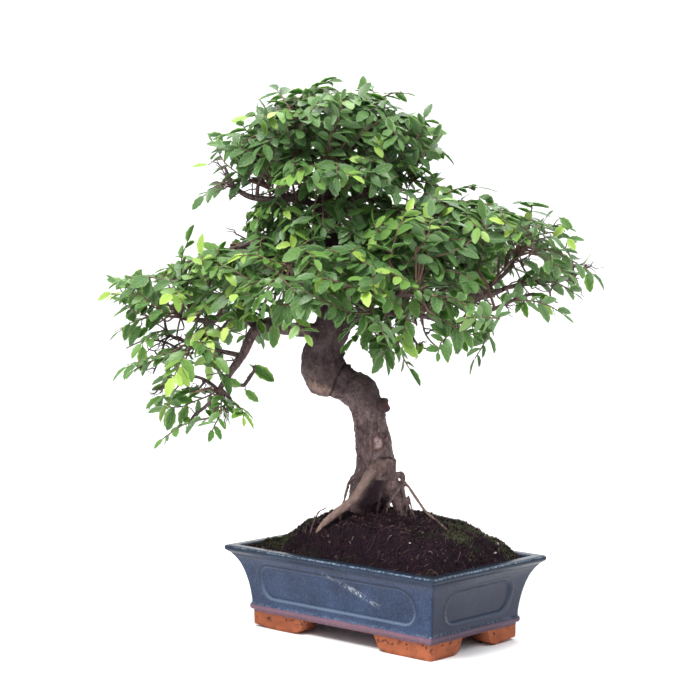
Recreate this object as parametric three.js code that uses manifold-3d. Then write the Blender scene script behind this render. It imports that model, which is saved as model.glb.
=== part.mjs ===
// A Chinese elm bonsai standing in its shallow glazed pot.
// Millimetres, +Z up. The pot's long side runs along X and its short side along Y.
// The tree is modelled in its own frame, x to its right and y away from the viewer,
// and that frame is turned by TREE_TURN about Z to stand cornerwise in the pot.
import * as THREE from 'three';
import { mergeVertices } from 'three/addons/utils/BufferGeometryUtils.js';
import Module from 'manifold-3d';

const wasm = await Module();
wasm.setup();

// Driving dimensions of the pot.
const POT_LENGTH = 263;
const POT_WIDTH = 164;
const POT_HEIGHT = 79;
const CORNER_RADIUS = 2.5;
const CORNER_STEPS = 2;
// Outer face of the pot, as [inset from the rim's outline, height], from the foot up.
const POT_OUTER = [
  [20.3, 0], [19.9, 16.5], [17.8, 17.8], [17.5, 20.5], [18.5, 23.5], [18, 33], [16.3, 43],
  [13.9, 53], [10.8, 61.5], [7, 68.2], [2.8, 73], [0.2, 75], [0, 77.4], [1, 79],
];
// Inner face of the pot, from its floor up past the rim.
const POT_FLOOR = 23;
const POT_INNER = [[26.5, POT_FLOOR], [24.5, 38], [19, 57], [13, 71], [11, 77], [11, 82]];
const POT_UNDERSIDE = 15;
const PANEL_HEIGHT = 31;
const PANEL_CENTRE = 45.5;
const PANEL_DEPTH = 1.8;
const PANEL_CORNER = 13;
const LONG_PANEL = 193;
const SHORT_PANEL = 96;
// How far a panel's cutter runs into the wall from the rim's plane, and out past it.
const PANEL_CUT_IN = 35;
const PANEL_CUT_OUT = 5;
const LEG_WIDTH = 20;
// Half-profile of the gap between two feet, as [distance from the middle, height].
const FOOT_GAP_LONG = [[60, -1], [58, 0.8], [51.5, 2.5], [46.5, 8], [44, POT_UNDERSIDE]];
const FOOT_GAP_SHORT = [[30.5, -1], [29, 0.8], [24, 2.5], [20.5, 8], [18.5, POT_UNDERSIDE]];
const DRAIN_RADIUS = 8;
const DRAIN_SIDES = 14;
const DRAIN_SPACING = 110;
const NET_SIDE = 26;
const NET_THICKNESS = 1.2;
const NET_CELLS = 3;
const NET_BAR = 1.8;

// Gap kept between neighbouring pieces.
const GAP = 0.3;

// Soil mound.
const SOIL_RIM = 76;
const SOIL_PEAK = 118;
const SOIL_LOW = 80;
const SOIL_SHOULDER = 18;
// Fall of the mound per square millimetre from the trunk, to its left and to its right,
// and how much faster it falls across the pot.
const SOIL_FALL_LEFT = 0.0038;
const SOIL_FALL_RIGHT = 0.0014;
const SOIL_CROSS_FALL = 1.45;
const SOIL_LUMP = 1.6;
const SOIL_COLUMNS = 13;
const SOIL_ROWS = 8;
const SOIL_HALF_LENGTH = 119.5;
const SOIL_HALF_WIDTH = 70;

// Tree frame and trunk.
const TREE_TURN = THREE.MathUtils.degToRad(41);
const TRUNK_BASE = [-8, -7];
// Cross-sections of the trunk as seen from the front: left edge x, z and right edge x, z.
const TRUNK_SECTIONS = [
  [-20, 52, -6, 52], [-30, 78, -2, 78], [-39, 102, 3, 100], [-35, 120, 4, 117.6],
  [-31.5, 131, 8, 131], [-30, 143.7, 12.7, 145], [-24.9, 157.1, 11.8, 159], [-24.9, 173, 8.7, 177],
  [-26.9, 192.9, 4.7, 194.5], [-30.8, 210.1, 0.9, 211.5], [-36.6, 217.8, -2.6, 224.7],
  [-42.3, 221.1, -7.2, 236.7], [-49.5, 223, -17, 244.8], [-58, 224.6, -27, 249.2],
  [-67.1, 227.6, -32.5, 252.6], [-73.7, 237.5, -36.4, 257.6], [-77, 249.7, -38.8, 263.5],
  [-74.9, 266.8, -38.6, 271.5], [-69.5, 280, -31, 283], [-61, 303, -28, 305], [-56, 336, -31, 337],
  [-54.5, 366, -34, 366], [-61, 401, -47, 405], [-53.5, 434, -44, 437], [-40, 471, -32.5, 473.5],
  [-30, 498, -26, 500],
];
const TRUNK_AXIS = -45;
const TRUNK_SIDES = 10;
const TRUNK_DEPTH_RATIO = 0.92;

// Boughs, aerial roots and surface roots as points [x, y, z, radius] in the tree frame.
const BOUGHS = {
  lowLeft: [[-56, 0, 285, 8], [-88, -10, 288, 6.2], [-116, -20, 289, 5.4], [-129, -26, 266, 4.4],
    [-141, -32, 248.5, 3.6], [-152, -38, 231, 2.4]],
  midLeft: [[-45, 0, 315, 7], [-84, -8, 306, 4.6], [-112, -14, 294, 4], [-148, -16, 300, 3.4],
    [-160, -16, 295.5, 3], [-188, -14, 298.5, 2.2]],
  leftTwig: [[-138, -16, 299, 2.8], [-158, -26, 280, 2.2], [-176, -34, 274, 1.8]],
  right: [[-48, 0, 294, 9], [0, -4, 303, 5.4], [36, -8, 309, 4.8], [70, -10, 315, 4.2],
    [98, -10, 320, 3.2], [116, -12, 327, 2]],
  rightRising: [[66, -10, 314, 3.6], [98, -8, 328, 2.8], [116, -6, 343, 2.2], [124, -4, 356, 1.8]],
  rightLow: [[-44, -2, 304, 6], [4, -28, 304, 3.6], [37, -40, 302, 2.8], [61, -44, 295, 2.5],
    [80, -44, 300, 2.4], [102, -46, 309, 1.8]],
  rightBack: [[22, -6, 307, 4], [52, 28, 320, 3], [78, 50, 331, 2]],
  front: [[-43, 0, 328, 6], [-32, -40, 322, 4], [-22, -62, 315, 2.8], [-14, -82, 309, 2]],
  frontLeft: [[-36, -30, 325, 3.8], [-66, -58, 332, 3], [-92, -80, 334, 2]],
  frontRight: [[-28, -48, 320, 3.4], [8, -70, 322, 2.6], [30, -82, 323, 2]],
  back: [[-44, 0, 338, 7], [-46, 36, 345, 4.4], [-38, 66, 353, 3], [-35, 84, 354, 2.2]],
  backLeft: [[-46, 34, 344, 4], [-72, 54, 349, 3], [-94, 68, 348, 2]],
  backRight: [[-41, 56, 350, 3.4], [-14, 78, 357, 2.6], [10, 90, 358, 2]],
  upperLeft: [[-44, 0, 352, 6], [-86, -8, 366, 4], [-118, -10, 368, 3], [-146, -7, 361, 2]],
  upperRight: [[-44, 0, 362, 6], [-8, -6, 380, 3.6], [24, -11, 388, 2.8], [48, -13, 392, 2]],
  crownLeft: [[-54, 0, 398, 5.4], [-80, -3, 410, 3.2], [-94, -5, 413, 2.4], [-106, -7, 418, 2]],
  crownRight: [[-54, 0, 398, 5], [-30, -9, 408, 3.2], [-12, -11, 415, 2.4], [0, -12, 419, 2]],
  crownFront: [[-55, 0, 414, 4.4], [-52, -24, 426, 2.8], [-48, -38, 432, 2]],
  crownBack: [[-55, 0, 420, 4.4], [-50, 24, 432, 2.8], [-45, 40, 438, 2]],
  crownHighLeft: [[-50, 0, 434, 4], [-66, -10, 447, 2.6], [-75, -16, 455, 2]],
  crownHighRight: [[-46, 0, 446, 4], [-28, 5, 458, 2.6], [-14, 8, 466, 2]],
};
const ROOTS = [
  [[8.5, -4, 161.2, 6], [-2.6, -16, 163.4, 5.4], [-10.9, -21, 156, 5], [-18.5, -25, 143.4, 4.5],
    [-26.2, -26, 131.9, 4.2], [-36.8, -25, 122.4, 4], [-47.2, -22, 114, 3.7], [-58, -19, 104.4, 3.4],
    [-70, -16, 92, 2.4]],
  [[0, -5, 162, 8], [6, -10, 149, 7.4], [12, -14, 131, 6.4], [17.5, -17, 116, 5.4], [26, -21, 98, 3.4]],
  [[4, -6, 150, 3], [14, -9, 153, 2], [19.3, -10, 150.7, 2], [18.5, -14, 139.7, 2], [21.7, -18, 127, 1.8],
    [27.5, -24, 115, 1.6], [33, -29, 103, 1.2]],
  [[16.5, -9, 146, 1.6], [21.9, -10, 142.9, 1.6], [34.7, -20, 125.8, 1.6], [42.7, -30, 117.4, 1.6],
    [57.6, -50, 107.5, 1.5], [66, -56, 98, 1.2]],
  [[-22, -6, 152, 2.4], [-29.5, -10, 147, 2], [-33.6, -14, 137.6, 1.7], [-37.2, -18, 122.2, 1.4],
    [-40, -20, 108, 1.1]],
  [[-14, 8, 132, 8], [-30, 22, 118, 6], [-48, 34, 104, 4], [-62, 42, 90, 2.4]],
  [[-4, 10, 130, 8], [8, 26, 116, 6], [22, 42, 100, 4], [34, 52, 86, 2.4]],
];
// Height of the trunk's three soft lobes as a share of its radius, and their twist a station.
const TRUNK_LOBE = 0.05;
const TRUNK_TWIST = 0.7;
const THICK_LIMB = 5;
const THICK_LIMB_SIDES = 6;
const THIN_LIMB_SIDES = 5;
const KNOB = [3.5, -2, 217, 4.6];
const CALLUS = [2.2, -8.6, 186, 5];

// Foliage clouds: centre x, y, z and half sizes x, y, z in the tree frame.
const CLOUDS = [
  [-48, 0, 474, 70, 62, 38], [-108, -5, 449, 44, 44, 28], [8, -5, 451, 38, 50, 34],
  [-40, -20, 428, 66, 56, 28], [-52, 0, 388, 70, 70, 34], [-122, -5, 346, 70, 74, 36],
  [-200, -5, 318, 56, 48, 28], [-182, -30, 262, 42, 42, 32], [-165, -44, 222, 36, 30, 24],
  [-42, -72, 322, 84, 52, 44], [40, -18, 372, 74, 74, 34], [108, -10, 354, 68, 66, 40],
  [150, -6, 336, 38, 46, 32], [60, -58, 312, 66, 44, 36], [-48, 76, 350, 96, 58, 40],
  [52, 78, 344, 66, 50, 38],
];
// Thin places between the clouds that carry a stem of their own.
const FILLERS = [
  [-118, -20, 464], [-88, -42, 442], [-84, -84, 322], [58, -92, 288], [10, -70, 290],
  [26, -18, 416], [-62, 34, 404],
];
const FILLER_LIFT = 0.8;
// Power in the usual estimate of an ellipsoid's surface.
const AREA_POWER = 1.6;
const CLOUD_PITCH = 91;
// Steepest downward-facing place on a cloud that still carries a stem.
const UNDERSIDE_LIMIT = -0.45;
// Depth at which a place counts as buried in another cloud, 1 being that cloud's surface.
const BURIED = 0.8;
const TIP_REACH = 27;
const TIP_ROLL = 0.65;
const TIP_LEAN = 0.4;
const BUD_STEP = 8;

// Leafy stems.
const LEAF_LENGTH = 23;
const LEAF_HALF_WIDTH = 0.235;
const LEAF_ANGLE = THREE.MathUtils.degToRad(58);
const LEAF_STEP = 8;
const BLADE_THICKNESS = 0.9;
const STEM_THICKNESS = 1.7;
const STEM_HALF_WIDTH = 0.85;
const STEM_LEAVES = 8;
const LEAF_SIZES = [0.86, 1.1];
const LEAF_ANGLE_SPREAD = 0.1;
const LEAF_TILT_SPREAD = 0.5;
const PETIOLE_HALF_WIDTH = 0.9;
const BLADE_DROOP = 0.008;
const STEM_STATION = 14;
const FRAME_STEPS = 24;
const SHORTEST_BARE_STEM = 8;
// Share of the climb from bud to target that the leafy part keeps, and how far it
// turns from pointing out of its cloud to lying along it.
const STEM_CLIMB = 0.4;
const CLOUD_HUG = 0.75;
// The leafy part is arched: its start and its tip lie this far under its middle.
const START_SINK = 5;
const TIP_DROP = 7;
// The bare part turns at a knee and at an elbow just before its first leaf.
const ELBOW_REACH = 9;
const KNEE_PLACE = 0.55;
const KNEE_RISE = 0.12;
// Least share of a stem that may be left once the wood is cut out of it.
const KEPT_SHARE = 0.85;
// Ways to bend a stem clear of its neighbours: swing and roll in degrees, and lift outwards.
const BENDS = [0, 9, -9].flatMap((lift) => [0, 28, -28, 56, -56].flatMap(
  (swing) => [0, 18, -18, 36, -36].map((roll) => ({
    lift,
    swing: THREE.MathUtils.degToRad(swing),
    roll: THREE.MathUtils.degToRad(roll),
  })),
));

const COLOURS = {
  pot: { color: 0x485c7d, roughness: 0.25, metalness: 0 },
  net: { color: 0x3c4a3a, roughness: 0.6, metalness: 0 },
  soil: { color: 0x2c1f1c, roughness: 0.95, metalness: 0 },
  wood: { color: 0x6e5f5a, roughness: 0.85, metalness: 0 },
  leaf: { color: 0x3c7832, roughness: 0.4, metalness: 0 },
};

// Solids and booleans.

function solidOf(geometry) {
  geometry.deleteAttribute('normal');
  geometry.deleteAttribute('uv');
  const merged = mergeVertices(geometry, 1e-4);
  return new wasm.Manifold(new wasm.Mesh({
    numProp: 3,
    vertProperties: new Float32Array(merged.attributes.position.array),
    triVerts: new Uint32Array(merged.index.array),
  }));
}

function geometryOf(solid) {
  const mesh = solid.getMesh();
  const geometry = new THREE.BufferGeometry();
  geometry.setAttribute('position', new THREE.BufferAttribute(new Float32Array(mesh.vertProperties), 3));
  geometry.setIndex(new THREE.BufferAttribute(new Uint32Array(mesh.triVerts), 1));
  geometry.computeVertexNormals();
  return geometry;
}

// The largest part of a solid, without what hangs on it by a single point.
function largestPart(solid) {
  const parts = solidOf(geometryOf(solid)).decompose();
  let largest = parts[0];
  for (const part of parts) {
    if (part.volume() > largest.volume()) {
      largest = part;
    }
  }
  return largest;
}

function fuse(solids) {
  return solids.reduce((whole, next) => whole.add(next));
}

// A closed skin over a row of rings with the same number of points, counter-clockwise
// seen from the last ring's side, with a flat fan over each end.
function skin(rings) {
  const count = rings[0].length;
  const positions = rings.flat().flatMap((point) => [point.x, point.y, point.z]);
  const index = [];
  for (let ring = 0; ring + 1 < rings.length; ring += 1) {
    for (let i = 0; i < count; i += 1) {
      const a = ring * count + i;
      const b = ring * count + ((i + 1) % count);
      index.push(a, b, b + count, a, b + count, a + count);
    }
  }
  const last = (rings.length - 1) * count;
  for (let i = 1; i + 1 < count; i += 1) {
    index.push(0, i + 1, i, last, last + i, last + i + 1);
  }
  const geometry = new THREE.BufferGeometry();
  geometry.setAttribute('position', new THREE.Float32BufferAttribute(positions, 3));
  geometry.setIndex(index);
  return solidOf(geometry);
}

// The pot.

function roundedRing(halfLength, halfWidth, radius, height) {
  const corners = [[1, 1, 0], [-1, 1, 1], [-1, -1, 2], [1, -1, 3]];
  const points = [];
  for (const [signX, signY, quarter] of corners) {
    for (let step = 0; step <= CORNER_STEPS; step += 1) {
      const angle = (quarter + step / CORNER_STEPS) * Math.PI / 2;
      points.push(new THREE.Vector3(
        signX * (halfLength - radius) + radius * Math.cos(angle),
        signY * (halfWidth - radius) + radius * Math.sin(angle),
        height,
      ));
    }
  }
  return points;
}

function potLoft(profile, extraInset) {
  return skin(profile.map(([inset, height]) => roundedRing(
    POT_LENGTH / 2 - inset - extraInset,
    POT_WIDTH / 2 - inset - extraInset,
    CORNER_RADIUS,
    height,
  )));
}

// A prism of the outline (in x and z) that runs along Y from one value to another.
function prismAlongY(shape, fromY, toY) {
  const geometry = new THREE.ExtrudeGeometry(shape, {
    depth: toY - fromY,
    bevelEnabled: false,
    curveSegments: 4,
  });
  geometry.rotateX(Math.PI / 2);
  geometry.translate(0, toY, 0);
  return geometry;
}

function panelShape(length) {
  const half = length / 2;
  const low = PANEL_CENTRE - PANEL_HEIGHT / 2;
  const high = PANEL_CENTRE + PANEL_HEIGHT / 2;
  const shape = new THREE.Shape();
  shape.moveTo(-half + PANEL_CORNER, low);
  shape.lineTo(half - PANEL_CORNER, low);
  shape.quadraticCurveTo(half, low, half, low + PANEL_CORNER);
  shape.lineTo(half, high - PANEL_CORNER);
  shape.quadraticCurveTo(half, high, half - PANEL_CORNER, high);
  shape.lineTo(-half + PANEL_CORNER, high);
  shape.quadraticCurveTo(-half, high, -half, high - PANEL_CORNER);
  shape.lineTo(-half, low + PANEL_CORNER);
  shape.quadraticCurveTo(-half, low, -half + PANEL_CORNER, low);
  return shape;
}

function panelCutters() {
  const cutters = [];
  for (const [length, halfSpan, turn] of [
    [LONG_PANEL, POT_WIDTH / 2, 0], [SHORT_PANEL, POT_LENGTH / 2, Math.PI / 2],
    [LONG_PANEL, POT_WIDTH / 2, Math.PI], [SHORT_PANEL, POT_LENGTH / 2, -Math.PI / 2],
  ]) {
    const geometry = prismAlongY(panelShape(length), halfSpan - PANEL_CUT_IN, halfSpan + PANEL_CUT_OUT);
    geometry.rotateZ(turn);
    cutters.push(solidOf(geometry));
  }
  return cutters;
}

function footGap(halfProfile, halfRun, turn) {
  const right = halfProfile.map(([x, z]) => new THREE.Vector2(x, z));
  const left = halfProfile.map(([x, z]) => new THREE.Vector2(-x, z)).reverse();
  const geometry = prismAlongY(new THREE.Shape([...right, ...left]), -halfRun, halfRun);
  geometry.rotateZ(turn);
  return solidOf(geometry);
}

function underVoid() {
  const inset = POT_OUTER[0][0] + LEG_WIDTH;
  return potLoft([[inset, -1], [inset, POT_UNDERSIDE]], 0);
}

function drainCutter(x) {
  const height = 2 * (POT_FLOOR - POT_UNDERSIDE) + 4;
  const geometry = new THREE.CylinderGeometry(DRAIN_RADIUS, DRAIN_RADIUS, height, DRAIN_SIDES);
  geometry.rotateX(Math.PI / 2);
  geometry.translate(x, 0, (POT_FLOOR + POT_UNDERSIDE) / 2);
  return solidOf(geometry);
}

function makePot() {
  let pot = potLoft(POT_OUTER, 0).subtract(potLoft(POT_INNER, 0));
  const behindPanels = potLoft(POT_OUTER, PANEL_DEPTH);
  for (const cutter of panelCutters()) {
    pot = pot.subtract(cutter.subtract(behindPanels));
  }
  pot = pot.subtract(underVoid());
  pot = pot.subtract(footGap(FOOT_GAP_LONG, POT_WIDTH, 0));
  pot = pot.subtract(footGap(FOOT_GAP_SHORT, POT_LENGTH, Math.PI / 2));
  for (const x of [-DRAIN_SPACING / 2, DRAIN_SPACING / 2]) {
    pot = pot.subtract(drainCutter(x));
  }
  return pot;
}

// The plastic net over a drain hole: a flat plate with square meshes.

function netBox(side, thickness, x, y, z) {
  const geometry = new THREE.BoxGeometry(side, side, thickness);
  geometry.translate(x, y, z);
  return solidOf(geometry);
}

function makeNet(x, grow = 0) {
  const middle = POT_FLOOR + GAP + NET_THICKNESS / 2;
  let net = netBox(NET_SIDE + 2 * grow, NET_THICKNESS + 2 * grow, x, 0, middle);
  if (grow > 0) {
    return net;
  }
  const pitch = (NET_SIDE - NET_BAR) / NET_CELLS;
  for (let column = 0; column < NET_CELLS; column += 1) {
    for (let row = 0; row < NET_CELLS; row += 1) {
      const shift = (NET_CELLS - 1) / 2;
      const cell = netBox(pitch - NET_BAR, 3 * NET_THICKNESS,
        x + (column - shift) * pitch, (row - shift) * pitch, middle);
      net = net.subtract(cell);
    }
  }
  return net;
}

// The tree's wood.

function trunkRing([leftX, leftZ, rightX, rightZ], station, grow) {
  const left = new THREE.Vector3(leftX, 0, leftZ);
  const right = new THREE.Vector3(rightX, 0, rightZ);
  const centre = left.clone().add(right).multiplyScalar(0.5);
  const across = right.clone().sub(left).multiplyScalar(0.5);
  const half = across.length();
  across.normalize();
  const ring = [];
  for (let i = 0; i < TRUNK_SIDES; i += 1) {
    const angle = i / TRUNK_SIDES * 2 * Math.PI;
    const lobes = 1 + TRUNK_LOBE * Math.sin(3 * angle + station * TRUNK_TWIST) * Math.sin(angle) ** 2;
    ring.push(centre.clone()
      .addScaledVector(across, (half + grow) * Math.cos(angle))
      .add(new THREE.Vector3(0, (half * TRUNK_DEPTH_RATIO * lobes + grow) * Math.sin(angle), 0)));
  }
  return ring;
}

// A tapering round limb through the points [x, y, z, radius].
function limb(points, grow) {
  const sides = points[0][3] > THICK_LIMB ? THICK_LIMB_SIDES : THIN_LIMB_SIDES;
  const curve = new THREE.CatmullRomCurve3(points.map(([x, y, z]) => new THREE.Vector3(x, y, z)));
  const stations = points.length;
  const frames = curve.computeFrenetFrames(stations, false);
  const rings = [];
  for (let station = 0; station <= stations; station += 1) {
    const along = station / stations;
    const overrun = (station === stations ? grow : 0) - (station === 0 ? grow : 0);
    const centre = curve.getPointAt(along).addScaledVector(frames.tangents[station], overrun);
    const slot = Math.min(curve.getUtoTmapping(along) * (points.length - 1), points.length - 1 - 1e-6);
    const before = Math.floor(slot);
    const radius = grow + THREE.MathUtils.lerp(points[before][3], points[before + 1][3], slot - before);
    const ring = [];
    for (let i = 0; i < sides; i += 1) {
      const angle = i / sides * 2 * Math.PI;
      ring.push(centre.clone()
        .addScaledVector(frames.normals[station], radius * Math.cos(angle))
        .addScaledVector(frames.binormals[station], radius * Math.sin(angle)));
    }
    rings.push(ring);
  }
  return skin(rings);
}

function swelling([x, y, z, radius], grow) {
  const geometry = new THREE.IcosahedronGeometry(radius + grow, 1);
  geometry.translate(x, y, z);
  return solidOf(geometry);
}

function makeWood(grow) {
  const trunk = skin(TRUNK_SECTIONS.map((section, station) => trunkRing(section, station, grow)));
  const boughs = Object.values(BOUGHS).map((points) => limb(points, grow));
  const roots = ROOTS.map((points) => limb(points, grow));
  return fuse([trunk, ...boughs, ...roots, swelling(KNOB, grow), swelling(CALLUS, grow)]);
}

// The soil: a mound that is highest at the trunk and drops steeply at the rim.

function smooth(low, high, value) {
  const t = THREE.MathUtils.clamp((value - low) / (high - low), 0, 1);
  return t * t * (3 - 2 * t);
}

function soilHeight(x, y) {
  const dx = x - TRUNK_BASE[0];
  const dy = SOIL_CROSS_FALL * (y - TRUNK_BASE[1]);
  const fall = THREE.MathUtils.lerp(SOIL_FALL_LEFT, SOIL_FALL_RIGHT, smooth(-40, 40, dx));
  const lumps = SOIL_LUMP * Math.sin(0.11 * x + 1) * Math.sin(0.14 * y + 2)
    + Math.sin(0.23 * x - 0.17 * y);
  const dome = Math.max(SOIL_PEAK - fall * (dx * dx + dy * dy), SOIL_LOW) + lumps;
  const edge = Math.min(SOIL_HALF_LENGTH - Math.abs(x), SOIL_HALF_WIDTH - Math.abs(y));
  return SOIL_RIM + (dome - SOIL_RIM) * smooth(0, SOIL_SHOULDER, edge);
}

function makeSoil(wood) {
  const geometry = new THREE.BoxGeometry(POT_LENGTH, POT_WIDTH, 2, SOIL_COLUMNS, SOIL_ROWS, 1);
  const position = geometry.attributes.position;
  for (let i = 0; i < position.count; i += 1) {
    const x = position.getX(i);
    const y = position.getY(i);
    position.setZ(i, position.getZ(i) > 0 ? soilHeight(x, y) : POT_FLOOR + GAP);
  }
  const mould = potLoft(POT_INNER.map(([inset, height]) => [inset, height + GAP]), GAP);
  const [mouthInset, mouthHeight] = POT_INNER.at(-1);
  const aboveMouth = potLoft([[mouthInset, mouthHeight], [mouthInset, SOIL_PEAK + 20]], GAP);
  let soil = solidOf(geometry).intersect(mould.add(aboveMouth));
  soil = soil.subtract(wood);
  for (const x of [-DRAIN_SPACING / 2, DRAIN_SPACING / 2]) {
    soil = soil.subtract(makeNet(x, GAP));
  }
  return largestPart(soil);
}

// Leafy stems.

// A repeatable draw from 0 to 1.
function drawer(seed) {
  let state = (seed * 2654435761) >>> 0;
  return () => {
    state = (Math.imul(state, 1664525) + 1013904223) >>> 0;
    return state / 4294967296;
  };
}

// Points spread evenly over the open outside of the clouds, each with its outward direction.
function cloudTargets(pitch) {
  const golden = Math.PI * (3 - Math.sqrt(5));
  const targets = [];
  CLOUDS.forEach(([cx, cy, cz, rx, ry, rz], cloud) => {
    const powers = (rx * ry) ** AREA_POWER + (rx * rz) ** AREA_POWER + (ry * rz) ** AREA_POWER;
    const count = Math.round(4 * Math.PI * (powers / 3) ** (1 / AREA_POWER) / pitch ** 2);
    for (let i = 0; i < count; i += 1) {
      const up = 1 - 2 * (i + 0.5) / count;
      const ring = Math.sqrt(1 - up * up);
      const turn = i * golden + cloud;
      const unit = new THREE.Vector3(ring * Math.cos(turn), ring * Math.sin(turn), up);
      const point = new THREE.Vector3(cx + rx * unit.x, cy + ry * unit.y, cz + rz * unit.z);
      const outward = new THREE.Vector3(unit.x / rx, unit.y / ry, unit.z / rz).normalize();
      const buried = CLOUDS.some(([ox, oy, oz, sx, sy, sz], other) => other !== cloud
        && ((point.x - ox) / sx) ** 2 + ((point.y - oy) / sy) ** 2 + ((point.z - oz) / sz) ** 2 < BURIED);
      if (!buried && outward.z > UNDERSIDE_LIMIT) {
        targets.push({ point, outward });
      }
    }
  });
  return targets;
}

function fillerTargets() {
  return FILLERS.map(([x, y, z]) => {
    const outward = new THREE.Vector3(x - TRUNK_AXIS, y, 0).normalize();
    outward.z = FILLER_LIFT;
    return { point: new THREE.Vector3(x, y, z), outward: outward.normalize() };
  });
}

// A leafy stem goes on from the tip of every bough.
function tipTargets() {
  return Object.values(BOUGHS).map((points, number) => {
    const tip = new THREE.Vector3(...points.at(-1));
    const along = tip.clone().sub(new THREE.Vector3(...points.at(-2))).normalize();
    const outward = new THREE.Vector3(TIP_LEAN * along.x, TIP_LEAN * along.y, 1).normalize()
      .applyAxisAngle(along, number % 2 === 0 ? TIP_ROLL : -TIP_ROLL);
    const point = tip.clone().addScaledVector(along, TIP_REACH);
    return { point, outward, base: tip };
  });
}

// Buds at even steps along the boughs, clear of the trunk and of the boughs' tips.
function budPlaces() {
  const buds = [];
  for (const points of Object.values(BOUGHS)) {
    for (let i = 1; i + 1 < points.length; i += 1) {
      const start = new THREE.Vector3(...points[i]);
      const end = new THREE.Vector3(...points[i + 1]);
      const steps = Math.max(1, Math.floor(start.distanceTo(end) / BUD_STEP));
      for (let step = 0; step < steps; step += 1) {
        buds.push(start.clone().lerp(end, step / steps));
      }
    }
  }
  return buds;
}

// The nearest free bud to each target; a bud carries one stem only.
function withBuds(targets) {
  const free = budPlaces();
  return targets.map((target) => {
    const distances = free.map((bud) => bud.distanceTo(target.point));
    const nearest = distances.indexOf(Math.min(...distances));
    const [base] = free.splice(nearest, 1);
    return { ...target, base };
  });
}

// Outline of one leaflet: [along, across] as shares of its length, from its base round its tip.
const LEAFLET = [[0.28, 1], [0.7, 0.74], [1, 0], [0.5, -1]];

function leafletPoints(baseX, side, angle, length) {
  const half = LEAF_HALF_WIDTH * length;
  return LEAFLET.map(([along, across]) => {
    const a = along * length;
    const b = across * half;
    return [
      baseX + a * Math.cos(angle) - b * Math.sin(angle),
      side * (STEM_HALF_WIDTH + a * Math.sin(angle) + b * Math.cos(angle)),
      along * length,
    ];
  });
}

// The flat outline of a stem with leaflets in two ranks, as [along, across, height].
function sprayOutline(bareLength, draw) {
  const left = [];
  const right = [];
  for (let x = 0; x < bareLength - SHORTEST_BARE_STEM + 1; x += Math.max(STEM_STATION, bareLength / 3)) {
    left.push([x, STEM_HALF_WIDTH, 0]);
    right.push([x, -STEM_HALF_WIDTH, 0]);
  }
  for (let i = 0; i < STEM_LEAVES - 1; i += 1) {
    const side = i % 2 === 0 ? 1 : -1;
    const baseX = bareLength + i * LEAF_STEP;
    const length = LEAF_LENGTH * THREE.MathUtils.lerp(...LEAF_SIZES, draw());
    const angle = LEAF_ANGLE + LEAF_ANGLE_SPREAD * (draw() - 0.5);
    const tilt = LEAF_TILT_SPREAD * (draw() - 0.5);
    const points = leafletPoints(baseX, side, angle, length).map(([x, y, reach]) => [x, y, reach * tilt]);
    points.unshift([baseX - PETIOLE_HALF_WIDTH, side * STEM_HALF_WIDTH, 0]);
    points.push([baseX + PETIOLE_HALF_WIDTH, side * STEM_HALF_WIDTH, 0]);
    (side === 1 ? left : right).push(...points);
  }
  const end = bareLength + (STEM_LEAVES - 1) * LEAF_STEP;
  const tip = leafletPoints(end - STEM_HALF_WIDTH, 1, 0, LEAF_LENGTH)
    .map(([x, y]) => [x, y - STEM_HALF_WIDTH, 0]);
  return { outline: [...right, ...tip.reverse(), ...left.reverse()], end };
}

// Flat triangles of an outline: a strip laced between the stem's two edges, and each
// leaflet on its own, so that a bend in the stem opens no web between them.
function sprayFaces(outline, end) {
  const onStem = [...outline.keys()].filter(
    (i) => Math.abs(outline[i][1]) <= STEM_HALF_WIDTH && outline[i][0] < end,
  );
  const right = onStem.filter((i) => outline[i][1] < 0);
  const left = onStem.filter((i) => outline[i][1] > 0).reverse();
  const faces = [];
  while (right.length > 1 || left.length > 1) {
    const nextRight = right.length > 1 ? outline[right[1]][0] : Infinity;
    const nextLeft = left.length > 1 ? outline[left[1]][0] : Infinity;
    if (nextRight < nextLeft) {
      faces.push([right[0], right[1], left[0]]);
      right.shift();
    } else {
      faces.push([right[0], left[1], left[0]]);
      left.shift();
    }
  }
  onStem.slice(1).forEach((to, k) => {
    const lobe = outline.slice(onStem[k], to + 1).map(([x, y]) => new THREE.Vector2(x, y));
    if (lobe.length > 2) {
      const lobeFaces = THREE.ShapeUtils.triangulateShape(lobe, []);
      faces.push(...lobeFaces.map((face) => face.map((i) => i + onStem[k])));
    }
  });
  return faces;
}

// Sideways directions along a curve, carried back without twist from its tip.
function sidewaysAlong(curve, face) {
  const sideways = [];
  let carried = new THREE.Vector3().crossVectors(face, curve.getTangentAt(1));
  for (let step = FRAME_STEPS; step >= 0; step -= 1) {
    const tangent = curve.getTangentAt(step / FRAME_STEPS);
    carried = carried.clone().addScaledVector(tangent, -carried.dot(tangent)).normalize();
    sideways[step] = carried;
  }
  return sideways;
}

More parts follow.
